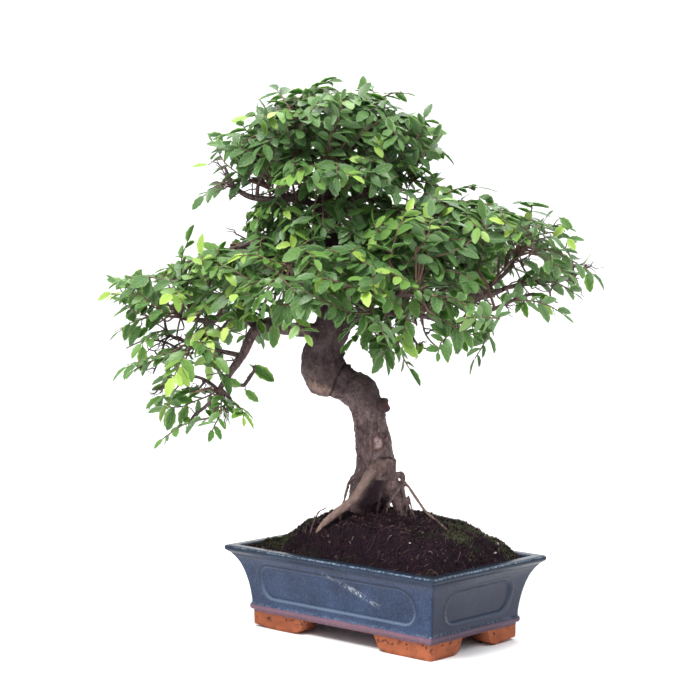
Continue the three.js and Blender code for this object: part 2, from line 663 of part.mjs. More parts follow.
// A thin blade of the outline, bent along the curve and drooping to both sides of it.
function bentBlade(outline, end, curve, face) {
  const scale = curve.getLength() / end;
  const sideways = sidewaysAlong(curve, face);
  const positions = [];
  for (const layer of [0.5, -0.5]) {
    for (const [x, y, height] of outline) {
      const along = THREE.MathUtils.clamp(x / end, 0, 1);
      const tangent = curve.getTangentAt(along);
      const across = sideways[Math.round(along * FRAME_STEPS)];
      const normal = new THREE.Vector3().crossVectors(tangent, across).normalize();
      const isLeaf = Math.abs(y) > STEM_HALF_WIDTH || x > end;
      const thickness = isLeaf ? BLADE_THICKNESS : STEM_THICKNESS;
      const place = curve.getPointAt(along)
        .addScaledVector(tangent, (x - along * end) * scale)
        .addScaledVector(across, y)
        .addScaledVector(normal, height - BLADE_DROOP * y * y + layer * thickness);
      positions.push(place.x, place.y, place.z);
    }
  }
  const count = outline.length;
  const index = [];
  for (const [a, b, c] of sprayFaces(outline, end)) {
    index.push(a, b, c, count + a, count + c, count + b);
  }
  for (let i = 0; i < count; i += 1) {
    const next = (i + 1) % count;
    index.push(i, count + i, next, next, count + i, count + next);
  }
  const geometry = new THREE.BufferGeometry();
  geometry.setAttribute('position', new THREE.Float32BufferAttribute(positions, 3));
  geometry.setIndex(index);
  return solidOf(geometry);
}

// A stem from its bud out to the target. Its leaves are spread evenly about the target,
// or start just past the bud where that is nearer, so that no stem doubles back.
function makeLeafyStem({ point, outward, base }, seed, { swing, roll, lift }) {
  const away = point.clone().sub(base);
  away.z *= STEM_CLIMB;
  away.normalize();
  const along = away.addScaledVector(outward, -CLOUD_HUG * away.dot(outward)).normalize()
    .applyAxisAngle(outward, swing);
  const face = outward.clone().applyAxisAngle(along, roll);
  const leafRun = (STEM_LEAVES - 1) * LEAF_STEP;
  const centre = point.clone().addScaledVector(outward, lift);
  const reach = centre.clone().sub(base).dot(along);
  const before = THREE.MathUtils.clamp(reach - SHORTEST_BARE_STEM, 0, leafRun / 2);
  const start = centre.clone().addScaledVector(along, -before).addScaledVector(outward, -START_SINK);
  const middle = centre.clone().addScaledVector(along, leafRun / 2 - before);
  const tip = centre.clone().addScaledVector(along, leafRun - before).addScaledVector(outward, -TIP_DROP);
  const elbow = start.clone().addScaledVector(along, -ELBOW_REACH);
  const knee = base.clone().lerp(elbow, KNEE_PLACE);
  knee.z += KNEE_RISE * base.distanceTo(elbow);
  const bends = base.distanceTo(elbow) > SHORTEST_BARE_STEM ? [knee, elbow] : [];
  const curve = new THREE.CatmullRomCurve3([base, ...bends, start, middle, tip]);
  const bare = Math.max(SHORTEST_BARE_STEM, curve.getLength() - leafRun);
  const { outline, end } = sprayOutline(bare, drawer(seed));
  return bentBlade(outline, end, curve, face);
}

function boxesMeet(a, b) {
  return [0, 1, 2].every((axis) => a.min[axis] < b.max[axis] && b.min[axis] < a.max[axis]);
}

function makeLeafyStems(fatWood) {
  const stems = [];
  const budTargets = withBuds([...cloudTargets(CLOUD_PITCH), ...fillerTargets()]);
  [...tipTargets(), ...budTargets].forEach((target, number) => {
    const isClear = (stem) => stems.every((other) => !boxesMeet(stem.boundingBox(), other.boundingBox())
      || stem.intersect(other).isEmpty());
    for (const bend of BENDS) {
      const whole = makeLeafyStem(target, number + 1, bend);
      const stem = largestPart(whole.subtract(fatWood));
      if (stem.volume() > KEPT_SHARE * whole.volume() && isClear(stem)) {
        stems.push(stem);
        return;
      }
    }
  });
  return stems;
}

// Assembly.

function meshOf(name, solid, look) {
  const mesh = new THREE.Mesh(geometryOf(solid), new THREE.MeshStandardMaterial(look));
  mesh.name = name;
  return mesh;
}

const bonsai = new THREE.Group();
const tree = new THREE.Group();
tree.rotation.z = TREE_TURN;

const wood = makeWood(0);
const fatWood = makeWood(GAP);
const turnMatrix = new THREE.Matrix4().makeRotationZ(TREE_TURN).toArray();

bonsai.add(meshOf('pot', makePot(), COLOURS.pot));
bonsai.add(meshOf('drain_net_left', makeNet(-DRAIN_SPACING / 2), COLOURS.net));
bonsai.add(meshOf('drain_net_right', makeNet(DRAIN_SPACING / 2), COLOURS.net));
bonsai.add(meshOf('soil', makeSoil(fatWood.transform(turnMatrix)), COLOURS.soil));
tree.add(meshOf('tree_wood', wood, COLOURS.wood));
makeLeafyStems(fatWood).forEach((stem, number) => {
  tree.add(meshOf(`leafy_stem_${String(number + 1).padStart(2, '0')}`, stem, COLOURS.leaf));
});
bonsai.add(tree);

// The origin is the bottom centre of the whole bonsai's box.
const part = new THREE.Group();
part.add(bonsai);
part.updateMatrixWorld(true);
const box = new THREE.Box3().setFromObject(part, true);
const centre = box.getCenter(new THREE.Vector3());
bonsai.position.set(-centre.x, -centre.y, -box.min.z);

export default part;
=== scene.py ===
"""A Chinese elm bonsai in its glazed pot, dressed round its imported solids.

The pot, the soil, the wood and the foliage are worked out here as finer surfaces that
stand in the places of their solids. The two drainage nets keep their solids.
Sizes are in millimetres until a mesh is made, and every mesh is in metres.
"""

import math

import bpy
import numpy as np
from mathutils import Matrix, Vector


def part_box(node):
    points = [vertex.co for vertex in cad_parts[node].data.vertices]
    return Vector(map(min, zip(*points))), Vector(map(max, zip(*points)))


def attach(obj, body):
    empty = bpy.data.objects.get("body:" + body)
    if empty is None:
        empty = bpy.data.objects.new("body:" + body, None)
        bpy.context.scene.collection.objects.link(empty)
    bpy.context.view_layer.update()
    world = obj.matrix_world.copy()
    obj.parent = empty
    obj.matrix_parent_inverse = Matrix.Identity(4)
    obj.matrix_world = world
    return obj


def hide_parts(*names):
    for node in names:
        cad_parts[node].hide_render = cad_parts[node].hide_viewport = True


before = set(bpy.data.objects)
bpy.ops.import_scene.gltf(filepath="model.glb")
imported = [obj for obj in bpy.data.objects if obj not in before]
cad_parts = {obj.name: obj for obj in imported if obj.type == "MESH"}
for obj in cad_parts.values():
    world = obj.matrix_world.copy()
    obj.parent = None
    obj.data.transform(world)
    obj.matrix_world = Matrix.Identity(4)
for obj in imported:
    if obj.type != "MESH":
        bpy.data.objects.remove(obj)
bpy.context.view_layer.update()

# The pot: one piece of stoneware, pressed in a mould, with a flared wall, a thick lip,
# a sunk panel on each side and a foot at each corner. Its wall is glazed slate blue,
# the glaze breaks to mauve above the feet, and the feet are bare red clay.
MM = 0.001
POT_LOW = np.array(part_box("pot")[0]) / MM
POT_HIGH = np.array(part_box("pot")[1]) / MM
POT_CENTRE = (POT_LOW + POT_HIGH) / 2 * np.array([1, 1, 0])
HALF_LENGTH, HALF_WIDTH = ((POT_HIGH - POT_LOW) / 2)[:2]
POT_CORNER = 2.5
UNDERSIDE = 15
POT_FLOOR = 23
FOOT_INSET = 20.3
FOOT_WIDTH = 20
# The wall from the foot up to the lip, over it and down inside: inset from the rim, height.
WALL_PROFILE = [
    (20.9, 0), (20.3, 0.7), (20.1, 8), (19.9, 15.4), (19.3, 16.6), (17.8, 17.5), (17.2, 19.2),
    (17.5, 21.4), (18.5, 23.2), (18.6, 26), (18, 32), (16.4, 42), (14, 52), (10.9, 61), (7.6, 67),
    (5.2, 70.2), (4.4, 71.4), (2.6, 72.8), (0.6, 74.4), (0, 76), (0.2, 77.8), (1.2, 78.8), (3, 79),
    (8.6, 79), (10.4, 78.6), (11, 77.2), (11.6, 74), (13, 71), (19, 57), (24.5, 38), (26.5, POT_FLOOR),
]
PANEL_MIDDLE = 45.5
PANEL_HALF_HEIGHT = 15.5
PANEL_END_RADIUS = 14
PANEL_SINK = 2.2
LONG_PANEL_HALF = 95.2
SHORT_PANEL_HALF = 45.8
# Half of the gap between two feet: distance from the middle, height.
LONG_FOOT_GAP = [(60, -1), (58, 0.8), (52.5, 2), (49, 4), (47, 7.5), (45.6, 11), (43.4, 14.8)]
SHORT_FOOT_GAP = [(30.5, -1), (29, 0.8), (25, 2), (22.4, 4), (20.8, 7.5), (19.8, 11), (18, 14.8)]
# Feet whose outer ends are worn away underneath: corner's sides, depth of the wear.
WORN_FEET = [(-1, -1, 2.4), (1, 1, 2.8)]
WEAR_REACH = 34
DRAIN_RADIUS = 8
DRAIN_OFFSET = 55
DRAIN_SIDES = 28
# How far each cut starts and ends outside the clay.
CUT_PAST = 2
# The wall's surface has this many steps between the profile's points in the spans that
# the panel lies on, and a third of them elsewhere.
WALL_STEPS = 9
PANEL_SPANS = (9, 14)


def smooth_path(points, steps):
    """Catmull-Rom curve through the points: each span is a cubic whose end slopes are
    half of the chord between the points on either side of its end."""
    points = np.asarray(points, float)
    padded = np.concatenate([[2 * points[0] - points[1]], points, [2 * points[-1] - points[-2]]])
    place = np.linspace(0, len(points) - 1, steps * (len(points) - 1) + 1)
    span = np.minimum(place.astype(int), len(points) - 2)
    t = (place - span).reshape([-1] + [1] * (points.ndim - 1))
    before, start, end, after = (padded[span + k] for k in range(4))
    return 0.5 * (
        2 * start + (end - before) * t + (2 * before - 5 * start + 4 * end - after) * t**2
        + (3 * start - before - 3 * end + after) * t**3
    )


def smooth_step(low, high, value):
    """Rises from 0 at low to 1 at high as 3t^2 - 2t^3, where t is the share of the way."""
    t = np.clip((value - low) / (high - low), 0, 1)
    return t * t * (3 - 2 * t)


def band_faces(rows, columns):
    """Quads between neighbouring rows of points, with the last column joined to the first."""
    row, column = np.meshgrid(np.arange(rows - 1), np.arange(columns), indexing="ij")
    beside = (column + 1) % columns
    corners = [row * columns + column, row * columns + beside,
               (row + 1) * columns + beside, (row + 1) * columns + column]
    return np.stack(corners, -1).reshape(-1, 4)


def make_piece(name, points, face_groups):
    """A new object at the origin from points in millimetres and arrays of faces, where each
    array holds faces with one number of corners."""
    mesh = bpy.data.meshes.new(name)
    corners = np.concatenate([group.ravel() for group in face_groups]).astype(np.int32)
    sizes = np.concatenate([np.full(len(group), group.shape[1]) for group in face_groups])
    mesh.vertices.add(len(points))
    mesh.vertices.foreach_set("co", (np.asarray(points) * MM).ravel())
    mesh.loops.add(len(corners))
    mesh.loops.foreach_set("vertex_index", corners)
    mesh.polygons.add(len(sizes))
    mesh.polygons.foreach_set("loop_start", (np.cumsum(sizes) - sizes).astype(np.int32))
    mesh.polygons.foreach_set("loop_total", sizes.astype(np.int32))
    mesh.polygons.foreach_set("use_smooth", np.ones(len(sizes), bool))
    mesh.update(calc_edges=True)
    piece = bpy.data.objects.new(name, mesh)
    bpy.context.scene.collection.objects.link(piece)
    return piece


def apply_modifiers(piece):
    """Puts the modified mesh in the place of the plain one."""
    graph = bpy.context.evaluated_depsgraph_get()
    finished = bpy.data.meshes.new_from_object(piece.evaluated_get(graph))
    piece.modifiers.clear()
    piece.data = finished
    finished.name = piece.name


def rounded_samples(long_count, short_count, corner_count):
    """Samples anticlockwise round a rectangle with rounded corners. Each is a core point,
    from -1 to 1 along each side, and the outward direction in which the corner's radius
    is added to it."""
    signs = np.array([[1, 1], [-1, 1], [-1, -1], [1, -1]], float)
    cores = []
    outwards = []
    for quarter in range(4):
        turn = np.linspace(quarter, quarter + 1, corner_count) * math.pi / 2
        cores.append(np.repeat(signs[quarter:quarter + 1], corner_count, 0))
        outwards.append(np.stack([np.cos(turn), np.sin(turn)], 1))
        count = long_count if quarter % 2 == 0 else short_count
        share = np.linspace(0, 1, count + 2)[1:-1, None]
        cores.append(signs[quarter] * (1 - share) + signs[(quarter + 1) % 4] * share)
        outwards.append(np.repeat(outwards[-1][-1:], count, 0))
    return np.concatenate(cores), np.concatenate(outwards)


def wall_rings(profile, cores, outwards):
    """Rounded rectangles at each inset and height of the profile, about the pot's centre."""
    inset, height = np.asarray(profile, float).T
    half = np.stack([HALF_LENGTH - inset, HALF_WIDTH - inset], 1) - POT_CORNER
    across = cores[None] * half[:, None] + POT_CORNER * outwards[None]
    rise = np.broadcast_to(height[:, None, None], across.shape[:2] + (1,))
    return np.concatenate([across, rise], 2)


def panel_edge(along, height, half_length):
    """Distance outside the panel's edge, a rounded rectangle. It is negative inside."""
    inner = np.stack([half_length, np.full_like(half_length, PANEL_HALF_HEIGHT)], -1) - PANEL_END_RADIUS
    beyond = np.stack([np.abs(along), np.abs(height - PANEL_MIDDLE)], -1) - inner
    outside = np.linalg.norm(np.maximum(beyond, 0), axis=-1)
    return outside + np.minimum(beyond.max(-1), 0) - PANEL_END_RADIUS


def panel_sink(edge):
    """Depth of the sunk panel: a smooth step across its sloping wall, less a low bead that
    runs round it."""
    bead = 0.45 * np.exp(-((edge - 1.9) / 1.0) ** 2)
    return PANEL_SINK * (1 - smooth_step(-2.2, 0.9, edge)) - bead


def extrusion(outline, low, high):
    """Points and faces of a flat anticlockwise outline carried from one level to another."""
    outline = np.asarray(outline, float)
    count = len(outline)
    points = np.concatenate([np.column_stack([outline, np.full(count, level)]) for level in (low, high)])
    caps = np.array([np.arange(count)[::-1], np.arange(count) + count])
    return points, [band_faces(2, count), caps]


def cut_away(piece, cutters):
    """Takes each cutter, as points and faces, out of the piece."""
    for points, faces in cutters:
        cutter = make_piece("cutter", points, faces)
        cut = piece.modifiers.new("cut", "BOOLEAN")
        cut.operation = "DIFFERENCE"
        cut.solver = "EXACT"
        cut.object = cutter
        apply_modifiers(piece)
        bpy.data.objects.remove(cutter)


def foot_gap_cutter(half_gap, low, high, turned):
    """The gap's half outline mirrored and carried through one side of the foot ring."""
    half_gap = np.asarray(half_gap, float)
    outline = np.concatenate([half_gap, half_gap[::-1] * (-1, 1)])
    points, faces = extrusion(outline, low, high)
    along, height, across = points.T
    if turned:
        return np.column_stack([across, along, height]) + POT_CENTRE, faces
    return np.column_stack([-along, across, height]) + POT_CENTRE, faces


def drain_cutter(x):
    """A round hole through the floor, at a distance along the pot from its middle."""
    turn = np.linspace(0, 2 * math.pi, DRAIN_SIDES, endpoint=False)
    points, faces = extrusion(DRAIN_RADIUS * np.column_stack([np.cos(turn), np.sin(turn)]),
                              UNDERSIDE - 5, POT_FLOOR + 5)
    return points + POT_CENTRE + (x, 0, 0), faces


cores, outwards = rounded_samples(long_count=150, short_count=92, corner_count=6)
foot_back = FOOT_INSET + FOOT_WIDTH
inner_foot = [(foot_back, UNDERSIDE), (foot_back, 1), (foot_back - 1, 0)]
fine_wall = smooth_path(WALL_PROFILE, WALL_STEPS)
fine_row = np.arange(len(fine_wall))
at_panel = (fine_row > PANEL_SPANS[0] * WALL_STEPS) & (fine_row < PANEL_SPANS[1] * WALL_STEPS)
wall = np.concatenate([inner_foot, fine_wall[at_panel | (fine_row % 3 == 0)]])
rings = wall_rings(wall, cores, outwards)
on_long_side = np.abs(outwards[:, 1]) > 0.99
along = np.where(on_long_side, rings[..., 0], rings[..., 1])
half_panels = np.where(on_long_side, LONG_PANEL_HALF, SHORT_PANEL_HALF) + 0.0 * along
outer_rows = np.arange(len(wall)) < wall[:, 1].argmax()
sink = panel_sink(panel_edge(along, rings[..., 2], half_panels)) * outer_rows[:, None]
rings[..., :2] -= sink[..., None] * outwards
column_count = len(cores)
pot_caps = np.array([np.arange(column_count)[::-1],
                     np.arange(column_count) + (len(wall) - 1) * column_count])
pot = make_piece("glazed_pot", rings.reshape(-1, 3) + POT_CENTRE,
                 [band_faces(len(wall), column_count), pot_caps])
foot_line_long = HALF_WIDTH - FOOT_INSET
foot_line_short = HALF_LENGTH - FOOT_INSET
cutters = [drain_cutter(-DRAIN_OFFSET), drain_cutter(DRAIN_OFFSET)]
for line, gap, turned in [(foot_line_long, LONG_FOOT_GAP, False), (foot_line_short, SHORT_FOOT_GAP, True)]:
    for low, high in [(-line - CUT_PAST, -line + FOOT_WIDTH + CUT_PAST),
                      (line - FOOT_WIDTH - CUT_PAST, line + CUT_PAST)]:
        cutters.append(foot_gap_cutter(gap, low, high, turned))
cut_away(pot, cutters)


def set_tone(piece, name, values):
    """A float for each vertex, which the piece's material reads by name."""
    piece.data.attributes.new(name, "FLOAT", "POINT").data.foreach_set("value", values.astype(np.float32))


def read_vertices(piece):
    """Places in millimetres and normals of a piece's vertices."""
    places = np.empty(len(piece.data.vertices) * 3, np.float32)
    normals = np.empty_like(places)
    piece.data.vertices.foreach_get("co", places)
    piece.data.vertex_normals.foreach_get("vector", normals)
    return places.reshape(-1, 3).astype(float) / MM, normals.reshape(-1, 3).astype(float)


pot_points, pot_normals = read_vertices(pot)
for side_x, side_y, depth in WORN_FEET:
    worn_corner = POT_CENTRE[:2] + (side_x * foot_line_short, side_y * foot_line_long)
    from_corner = np.linalg.norm(pot_points[:, :2] - worn_corner, axis=1)
    near_ground = 1 - smooth_step(0, 9, pot_points[:, 2])
    pot_points[:, 2] += depth * near_ground * (1 - smooth_step(0, WEAR_REACH, from_corner))
pot.data.vertices.foreach_set("co", (pot_points * MM).astype(np.float32).ravel())
pot.data.update()
# The glaze is painted pale along the panel's edge, as thin glaze breaking and as a painted highlight
# strongest on the lower edge, which faces up to the light; and dark along it, as pooled glaze and as painted
# shade strongest along the upper edge.
pot_points -= POT_CENTRE
faces_long = np.abs(pot_normals[:, 1]) > np.abs(pot_normals[:, 0])
edge = panel_edge(np.where(faces_long, pot_points[:, 0], pot_points[:, 1]), pot_points[:, 2],
                  np.where(faces_long, LONG_PANEL_HALF, SHORT_PANEL_HALF))
rim_low = smooth_step(4, -12, pot_points[:, 2] - PANEL_MIDDLE)
glaze_break_and_highlight = (0.3 + 0.7 * rim_low) * np.exp(-((edge - 0.4) / 1.1) ** 2)
glaze_pool_and_shade = (1.0 - 0.6 * rim_low) * np.exp(-((edge - 2.4 + 3.6 * rim_low) / 1.0) ** 2)
# The right end, turned away from the key light, is painted darker and greyer as shade, and its panel's edge
# gets less of the painted highlight.
past_corner = pot_points[:, 0] - HALF_LENGTH - np.abs(pot_points[:, 1]) + HALF_WIDTH
right_end = smooth_step(-1.5, 1.5, past_corner)
glaze_break_and_highlight = glaze_break_and_highlight * (1 - 0.55 * right_end)
set_tone(pot, "right_end", right_end)
set_tone(pot, "glaze_break_and_highlight", glaze_break_and_highlight)
set_tone(pot, "glaze_pool_and_shade", glaze_pool_and_shade)


def new_group(name, inputs, outputs):
    """A shader node group with named inputs and outputs, as (name, socket type)."""
    group = bpy.data.node_groups.new(name, "ShaderNodeTree")
    for label, kind in inputs:
        group.interface.new_socket(label, in_out="INPUT", socket_type=kind)
    for label, kind in outputs:
        group.interface.new_socket(label, in_out="OUTPUT", socket_type=kind)
    return group, group.nodes.new("NodeGroupInput"), group.nodes.new("NodeGroupOutput")


def add_node(tree, kind, links=None, **settings):
    """A new node. Each link names an input, and gives the socket or value for it."""
    node = tree.nodes.new(kind)
    for name, value in settings.items():
        setattr(node, name, value)
    for name, value in (links or {}).items():
        if isinstance(value, bpy.types.NodeSocket):
            tree.links.new(value, node.inputs[name])
        else:
            node.inputs[name].default_value = value
    return node


def ramp(tree, value, stops):
    """The value read through stops of (place, colour or level)."""
    node = add_node(tree, "ShaderNodeValToRGB", {"Fac": value})
    elements = node.color_ramp.elements
    while len(elements) < len(stops):
        elements.new(0.5)
    for element, (place, colour) in zip(elements, stops):
        element.position = place
        element.color = (*colour, 1) if isinstance(colour, tuple) else (colour, colour, colour, 1)
    return node.outputs["Color"]


def blend(tree, share, first, second):
    """Two colours mixed by a share. A colour is a socket or a tuple."""
    node = add_node(tree, "ShaderNodeMix", data_type="RGBA")
    for socket, value in zip((node.inputs[0], node.inputs[6], node.inputs[7]), (share, first, second)):
        if isinstance(value, bpy.types.NodeSocket):
            tree.links.new(value, socket)
        else:
            socket.default_value = (*value, 1) if isinstance(value, tuple) else value
    return node.outputs[2]


def maths(tree, operation, first, second=0.0, clamp=False):
    """One calculation with sockets or numbers, such as a sum, a product or a maximum."""
    return add_node(tree, "ShaderNodeMath", {0: first, 1: second}, operation=operation,
                    use_clamp=clamp).outputs[0]


def noise(tree, where, scale, detail=3.0, roughness=0.55):
    """Cloudy noise from 0 to 1, with its scale in waves a metre."""
    links = {"Vector": where, "Scale": scale, "Detail": detail, "Roughness": roughness}
    return add_node(tree, "ShaderNodeTexNoise", links).outputs["Fac"]


# Blotches: a colour between two, drifting over the surface, and its height for a bump.
blotches, group_in, group_out = new_group(
    "blotches",
    [("Vector", "NodeSocketVector"), ("Scale", "NodeSocketFloat"), ("Contrast", "NodeSocketFloat"),
     ("Dark", "NodeSocketColor"), ("Light", "NodeSocketColor")],
    [("Color", "NodeSocketColor"), ("Height", "NodeSocketFloat")],
)
drift = noise(blotches, group_in.outputs["Vector"], group_in.outputs["Scale"], 5.0, 0.62)
centred = maths(blotches, "SUBTRACT", drift, 0.5)
stretched = maths(blotches, "MULTIPLY", centred, group_in.outputs["Contrast"])
share = maths(blotches, "ADD", stretched, 0.5, clamp=True)
blotch_colour = add_node(blotches, "ShaderNodeMix", data_type="RGBA")
blotches.links.new(share, blotch_colour.inputs[0])
blotches.links.new(group_in.outputs["Dark"], blotch_colour.inputs[6])
blotches.links.new(group_in.outputs["Light"], blotch_colour.inputs[7])
blotches.links.new(blotch_colour.outputs[2], group_out.inputs["Color"])
blotches.links.new(share, group_out.inputs["Height"])

# Specks: a mask of small round spots, each in its own cell, that cover a share of the surface.
specks, group_in, group_out = new_group(
    "specks",
    [("Vector", "NodeSocketVector"), ("Scale", "NodeSocketFloat"), ("Cover", "NodeSocketFloat")],
    [("Mask", "NodeSocketFloat")],
)
cells = add_node(specks, "ShaderNodeTexVoronoi",
                 {"Vector": group_in.outputs["Vector"], "Scale": group_in.outputs["Scale"]})
cell_draw = add_node(specks, "ShaderNodeSeparateColor", {"Color": cells.outputs["Color"]}).outputs["Red"]
reach = maths(specks, "MULTIPLY", cell_draw, group_in.outputs["Cover"])
inside = maths(specks, "SUBTRACT", reach, cells.outputs["Distance"])
spot = maths(specks, "MULTIPLY", inside, 9.0, clamp=True)
specks.links.new(spot, group_out.inputs["Mask"])


def new_material(name):
    """An empty material, its tree, its shader and the place on the surface in metres."""
    material = bpy.data.materials.new(name)
    material.use_nodes = True
    tree = material.node_tree
    shader = tree.nodes["Principled BSDF"]
    where = add_node(tree, "ShaderNodeTexCoord").outputs["Object"]
    return material, tree, shader, where


def use_group(tree, group, **links):
    """Puts a node group in the tree. Each link names an input, and gives the socket or value
    for it."""
    node = add_node(tree, "ShaderNodeGroup", node_tree=group)
    for name, value in links.items():
        if isinstance(value, bpy.types.NodeSocket):
            tree.links.new(value, node.inputs[name])
        else:
            node.inputs[name].default_value = (*value, 1) if isinstance(value, tuple) else value
    return node.outputs


def set_bump(tree, shader, height, strength, distance):
    """Bump of a height over a distance in metres."""
    links = {"Height": height, "Strength": strength, "Distance": distance}
    tree.links.new(add_node(tree, "ShaderNodeBump", links).outputs["Normal"], shader.inputs["Normal"])


GLAZE_DEEP = (0.014, 0.023, 0.052)
GLAZE_LIGHT = (0.038, 0.062, 0.132)
GLAZE_SPECK = (0.105, 0.145, 0.215)
GLAZE_POOL_AND_SHADE = (0.006, 0.011, 0.024)
GLAZE_PALE = (0.25, 0.32, 0.42)
GLAZE_SIDE_SHADE = (0.0115, 0.0135, 0.0255)
GLAZE_LIP = (0.008, 0.017, 0.028)
GLAZE_MAUVE = (0.190, 0.098, 0.128)
RED_CLAY = (0.410, 0.122, 0.056)
CLAY_DARK = (0.135, 0.043, 0.024)
CLAY_PIT = (0.030, 0.018, 0.013)
LIME_WHITE = (0.55, 0.60, 0.66)
GLAZE_DUSK = (0.085, 0.070, 0.115)
# The streak's ends, as distance along the long side and height, and half of its width.
STREAK_START = (-12, 66)
STREAK_END = (53, 41)
STREAK_HALF_WIDTH = 3.6
# Places farther forward than this lie on the front long side.
FRONT_SIDE = -55
# The ramps up the wall read the height as a share of this.
LEVEL_SPAN = 80.0


def tone_of(tree, name):
    """The float that set_tone gave each vertex under a name."""
    return add_node(tree, "ShaderNodeAttribute", attribute_name=name).outputs["Fac"]


pot_finish, tree, shader, where = new_material("glazed_stoneware")
height = add_node(tree, "ShaderNodeSeparateXYZ", {0: where}).outputs["Z"]
height_mm = maths(tree, "DIVIDE", height, MM)
wander = maths(tree, "MULTIPLY", maths(tree, "SUBTRACT", noise(tree, where, 60.0), 0.5), 2.4)
level = maths(tree, "DIVIDE", maths(tree, "ADD", height_mm, wander), LEVEL_SPAN)
glaze = use_group(tree, blotches, Vector=where, Scale=30.0, Contrast=2.2, Dark=GLAZE_DEEP, Light=GLAZE_LIGHT)
grain = noise(tree, where, 520.0, 3.0, 0.75)
glaze_colour = blend(tree, ramp(tree, grain, [(0.51, 0.0), (0.72, 0.42)]), glaze["Color"], GLAZE_SPECK)
glaze_colour = blend(tree, ramp(tree, grain, [(0.28, 0.55), (0.46, 0.0)]), glaze_colour, GLAZE_POOL_AND_SHADE)
fine_specks = use_group(tree, specks, Vector=where, Scale=420.0, Cover=0.24)["Mask"]
glaze_colour = blend(tree, maths(tree, "MULTIPLY", fine_specks, 0.22), glaze_colour, GLAZE_PALE)
# Painted shade and pooled glaze: darker along the panel's edge, most along its upper edge.
pool_and_shade_share = maths(tree, "MULTIPLY", tone_of(tree, "glaze_pool_and_shade"), 0.8)
glaze_colour = blend(tree, pool_and_shade_share, glaze_colour, GLAZE_POOL_AND_SHADE)
# Painted shade: the right end is made darker and greyer.
side_shade_share = maths(tree, "MULTIPLY", tone_of(tree, "right_end"), 0.75)
glaze_colour = blend(tree, side_shade_share, glaze_colour, GLAZE_SIDE_SHADE)
# Painted shade: a dark band under the lip's overhang.
under_lip = ramp(tree, level, [(0.80, 0.0), (0.865, 0.25), (0.88, 0.8), (0.905, 0.3), (0.93, 0.0)])
glaze_colour = blend(tree, under_lip, glaze_colour, GLAZE_POOL_AND_SHADE)
lip_wander = maths(tree, "MULTIPLY", wander, 0.2)
lip_level = maths(tree, "DIVIDE", maths(tree, "ADD", height_mm, lip_wander), LEVEL_SPAN)
on_lip = ramp(tree, lip_level, [(0.90, 0.0), (0.925, 0.6), (0.972, 0.7), (0.984, 0.9)])
glaze_colour = blend(tree, on_lip, glaze_colour, GLAZE_LIP)
# Painted highlights: broken pale lines on the lip's outer top edge and on the moulding above the feet, and a
# pale line round the panel that is partly glaze break.
lip_highlight = ramp(tree, lip_level, [(0.966, 0.0), (0.972, 0.9), (0.981, 0.9), (0.9855, 0.0)])
foot_highlight = ramp(tree, level, [(0.268, 0.0), (0.280, 0.5), (0.290, 0.2), (0.31, 0.0)])
highlight_breakup = ramp(tree, noise(tree, where, 330.0, 4.0, 0.8), [(0.46, 0.05), (0.60, 0.9)])
edge_highlight_and_break = maths(tree, "MULTIPLY", maths(tree, "MAXIMUM", lip_highlight, foot_highlight), highlight_breakup)
edge_highlight_and_break = maths(tree, "MAXIMUM", edge_highlight_and_break, maths(tree, "MULTIPLY", tone_of(tree, "glaze_break_and_highlight"), 0.42))
glaze_colour = blend(tree, edge_highlight_and_break, glaze_colour, GLAZE_PALE)
mauve_band = ramp(tree, level, [(0.17, 1.0), (0.262, 0.95), (0.276, 0.0)])
dull_share = maths(tree, "SUBTRACT", 1.0, maths(tree, "MULTIPLY", tone_of(tree, "right_end"), 0.6))
mauve_band = maths(tree, "MULTIPLY", mauve_band, dull_share)
mauve = blend(tree, ramp(tree, noise(tree, where, 300.0), [(0.4, 0.0), (0.7, 0.5)]), GLAZE_MAUVE,
              GLAZE_DUSK)
glaze_colour = blend(tree, mauve_band, glaze_colour, mauve)

# A white lime streak left by hard water runs slantwise down the long side.
centred_place = add_node(tree, "ShaderNodeMapping",
                         {"Vector": where, "Location": tuple(-POT_CENTRE * MM)}).outputs["Vector"]
place_axes = add_node(tree, "ShaderNodeSeparateXYZ", {0: centred_place}).outputs
run = np.subtract(STREAK_END, STREAK_START) * MM
run_length = float(np.hypot(*run))
from_start = add_node(tree, "ShaderNodeVectorMath",
                      {0: centred_place, 1: (STREAK_START[0] * MM, 0, STREAK_START[1] * MM)},
                      operation="SUBTRACT").outputs[0]
along_streak = add_node(tree, "ShaderNodeVectorMath",
                        {0: from_start, 1: (run[0] / run_length, 0, run[1] / run_length)},
                        operation="DOT_PRODUCT").outputs["Value"]
beside_streak = add_node(tree, "ShaderNodeVectorMath",
                         {0: from_start, 1: (-run[1] / run_length, 0, run[0] / run_length)},
                         operation="DOT_PRODUCT").outputs["Value"]
streak_wander = maths(tree, "MULTIPLY", maths(tree, "SUBTRACT", noise(tree, where, 90.0), 0.5), 0.004)
beside_streak = maths(tree, "ADD", beside_streak, streak_wander)
from_streak = maths(tree, "DIVIDE", maths(tree, "ABSOLUTE", beside_streak), STREAK_HALF_WIDTH * MM)
near_streak = maths(tree, "SUBTRACT", 1.0, from_streak, clamp=True)
in_run = ramp(tree, maths(tree, "DIVIDE", along_streak, run_length),
              [(0.0, 0.0), (0.06, 0.42), (0.38, 0.36), (0.46, 1.0), (0.72, 1.0), (0.80, 0.3), (0.92, 0.9),
               (1.0, 0.0)])
on_front = maths(tree, "LESS_THAN", place_axes["Y"], FRONT_SIDE * MM)
streak_break = ramp(tree, noise(tree, where, 330.0, 5.0, 0.85), [(0.49, 0.0), (0.56, 1.0)])
streak = maths(tree, "MULTIPLY", maths(tree, "MULTIPLY", near_streak, in_run),
               maths(tree, "MULTIPLY", on_front, streak_break))
glaze_colour = blend(tree, streak, glaze_colour, LIME_WHITE)

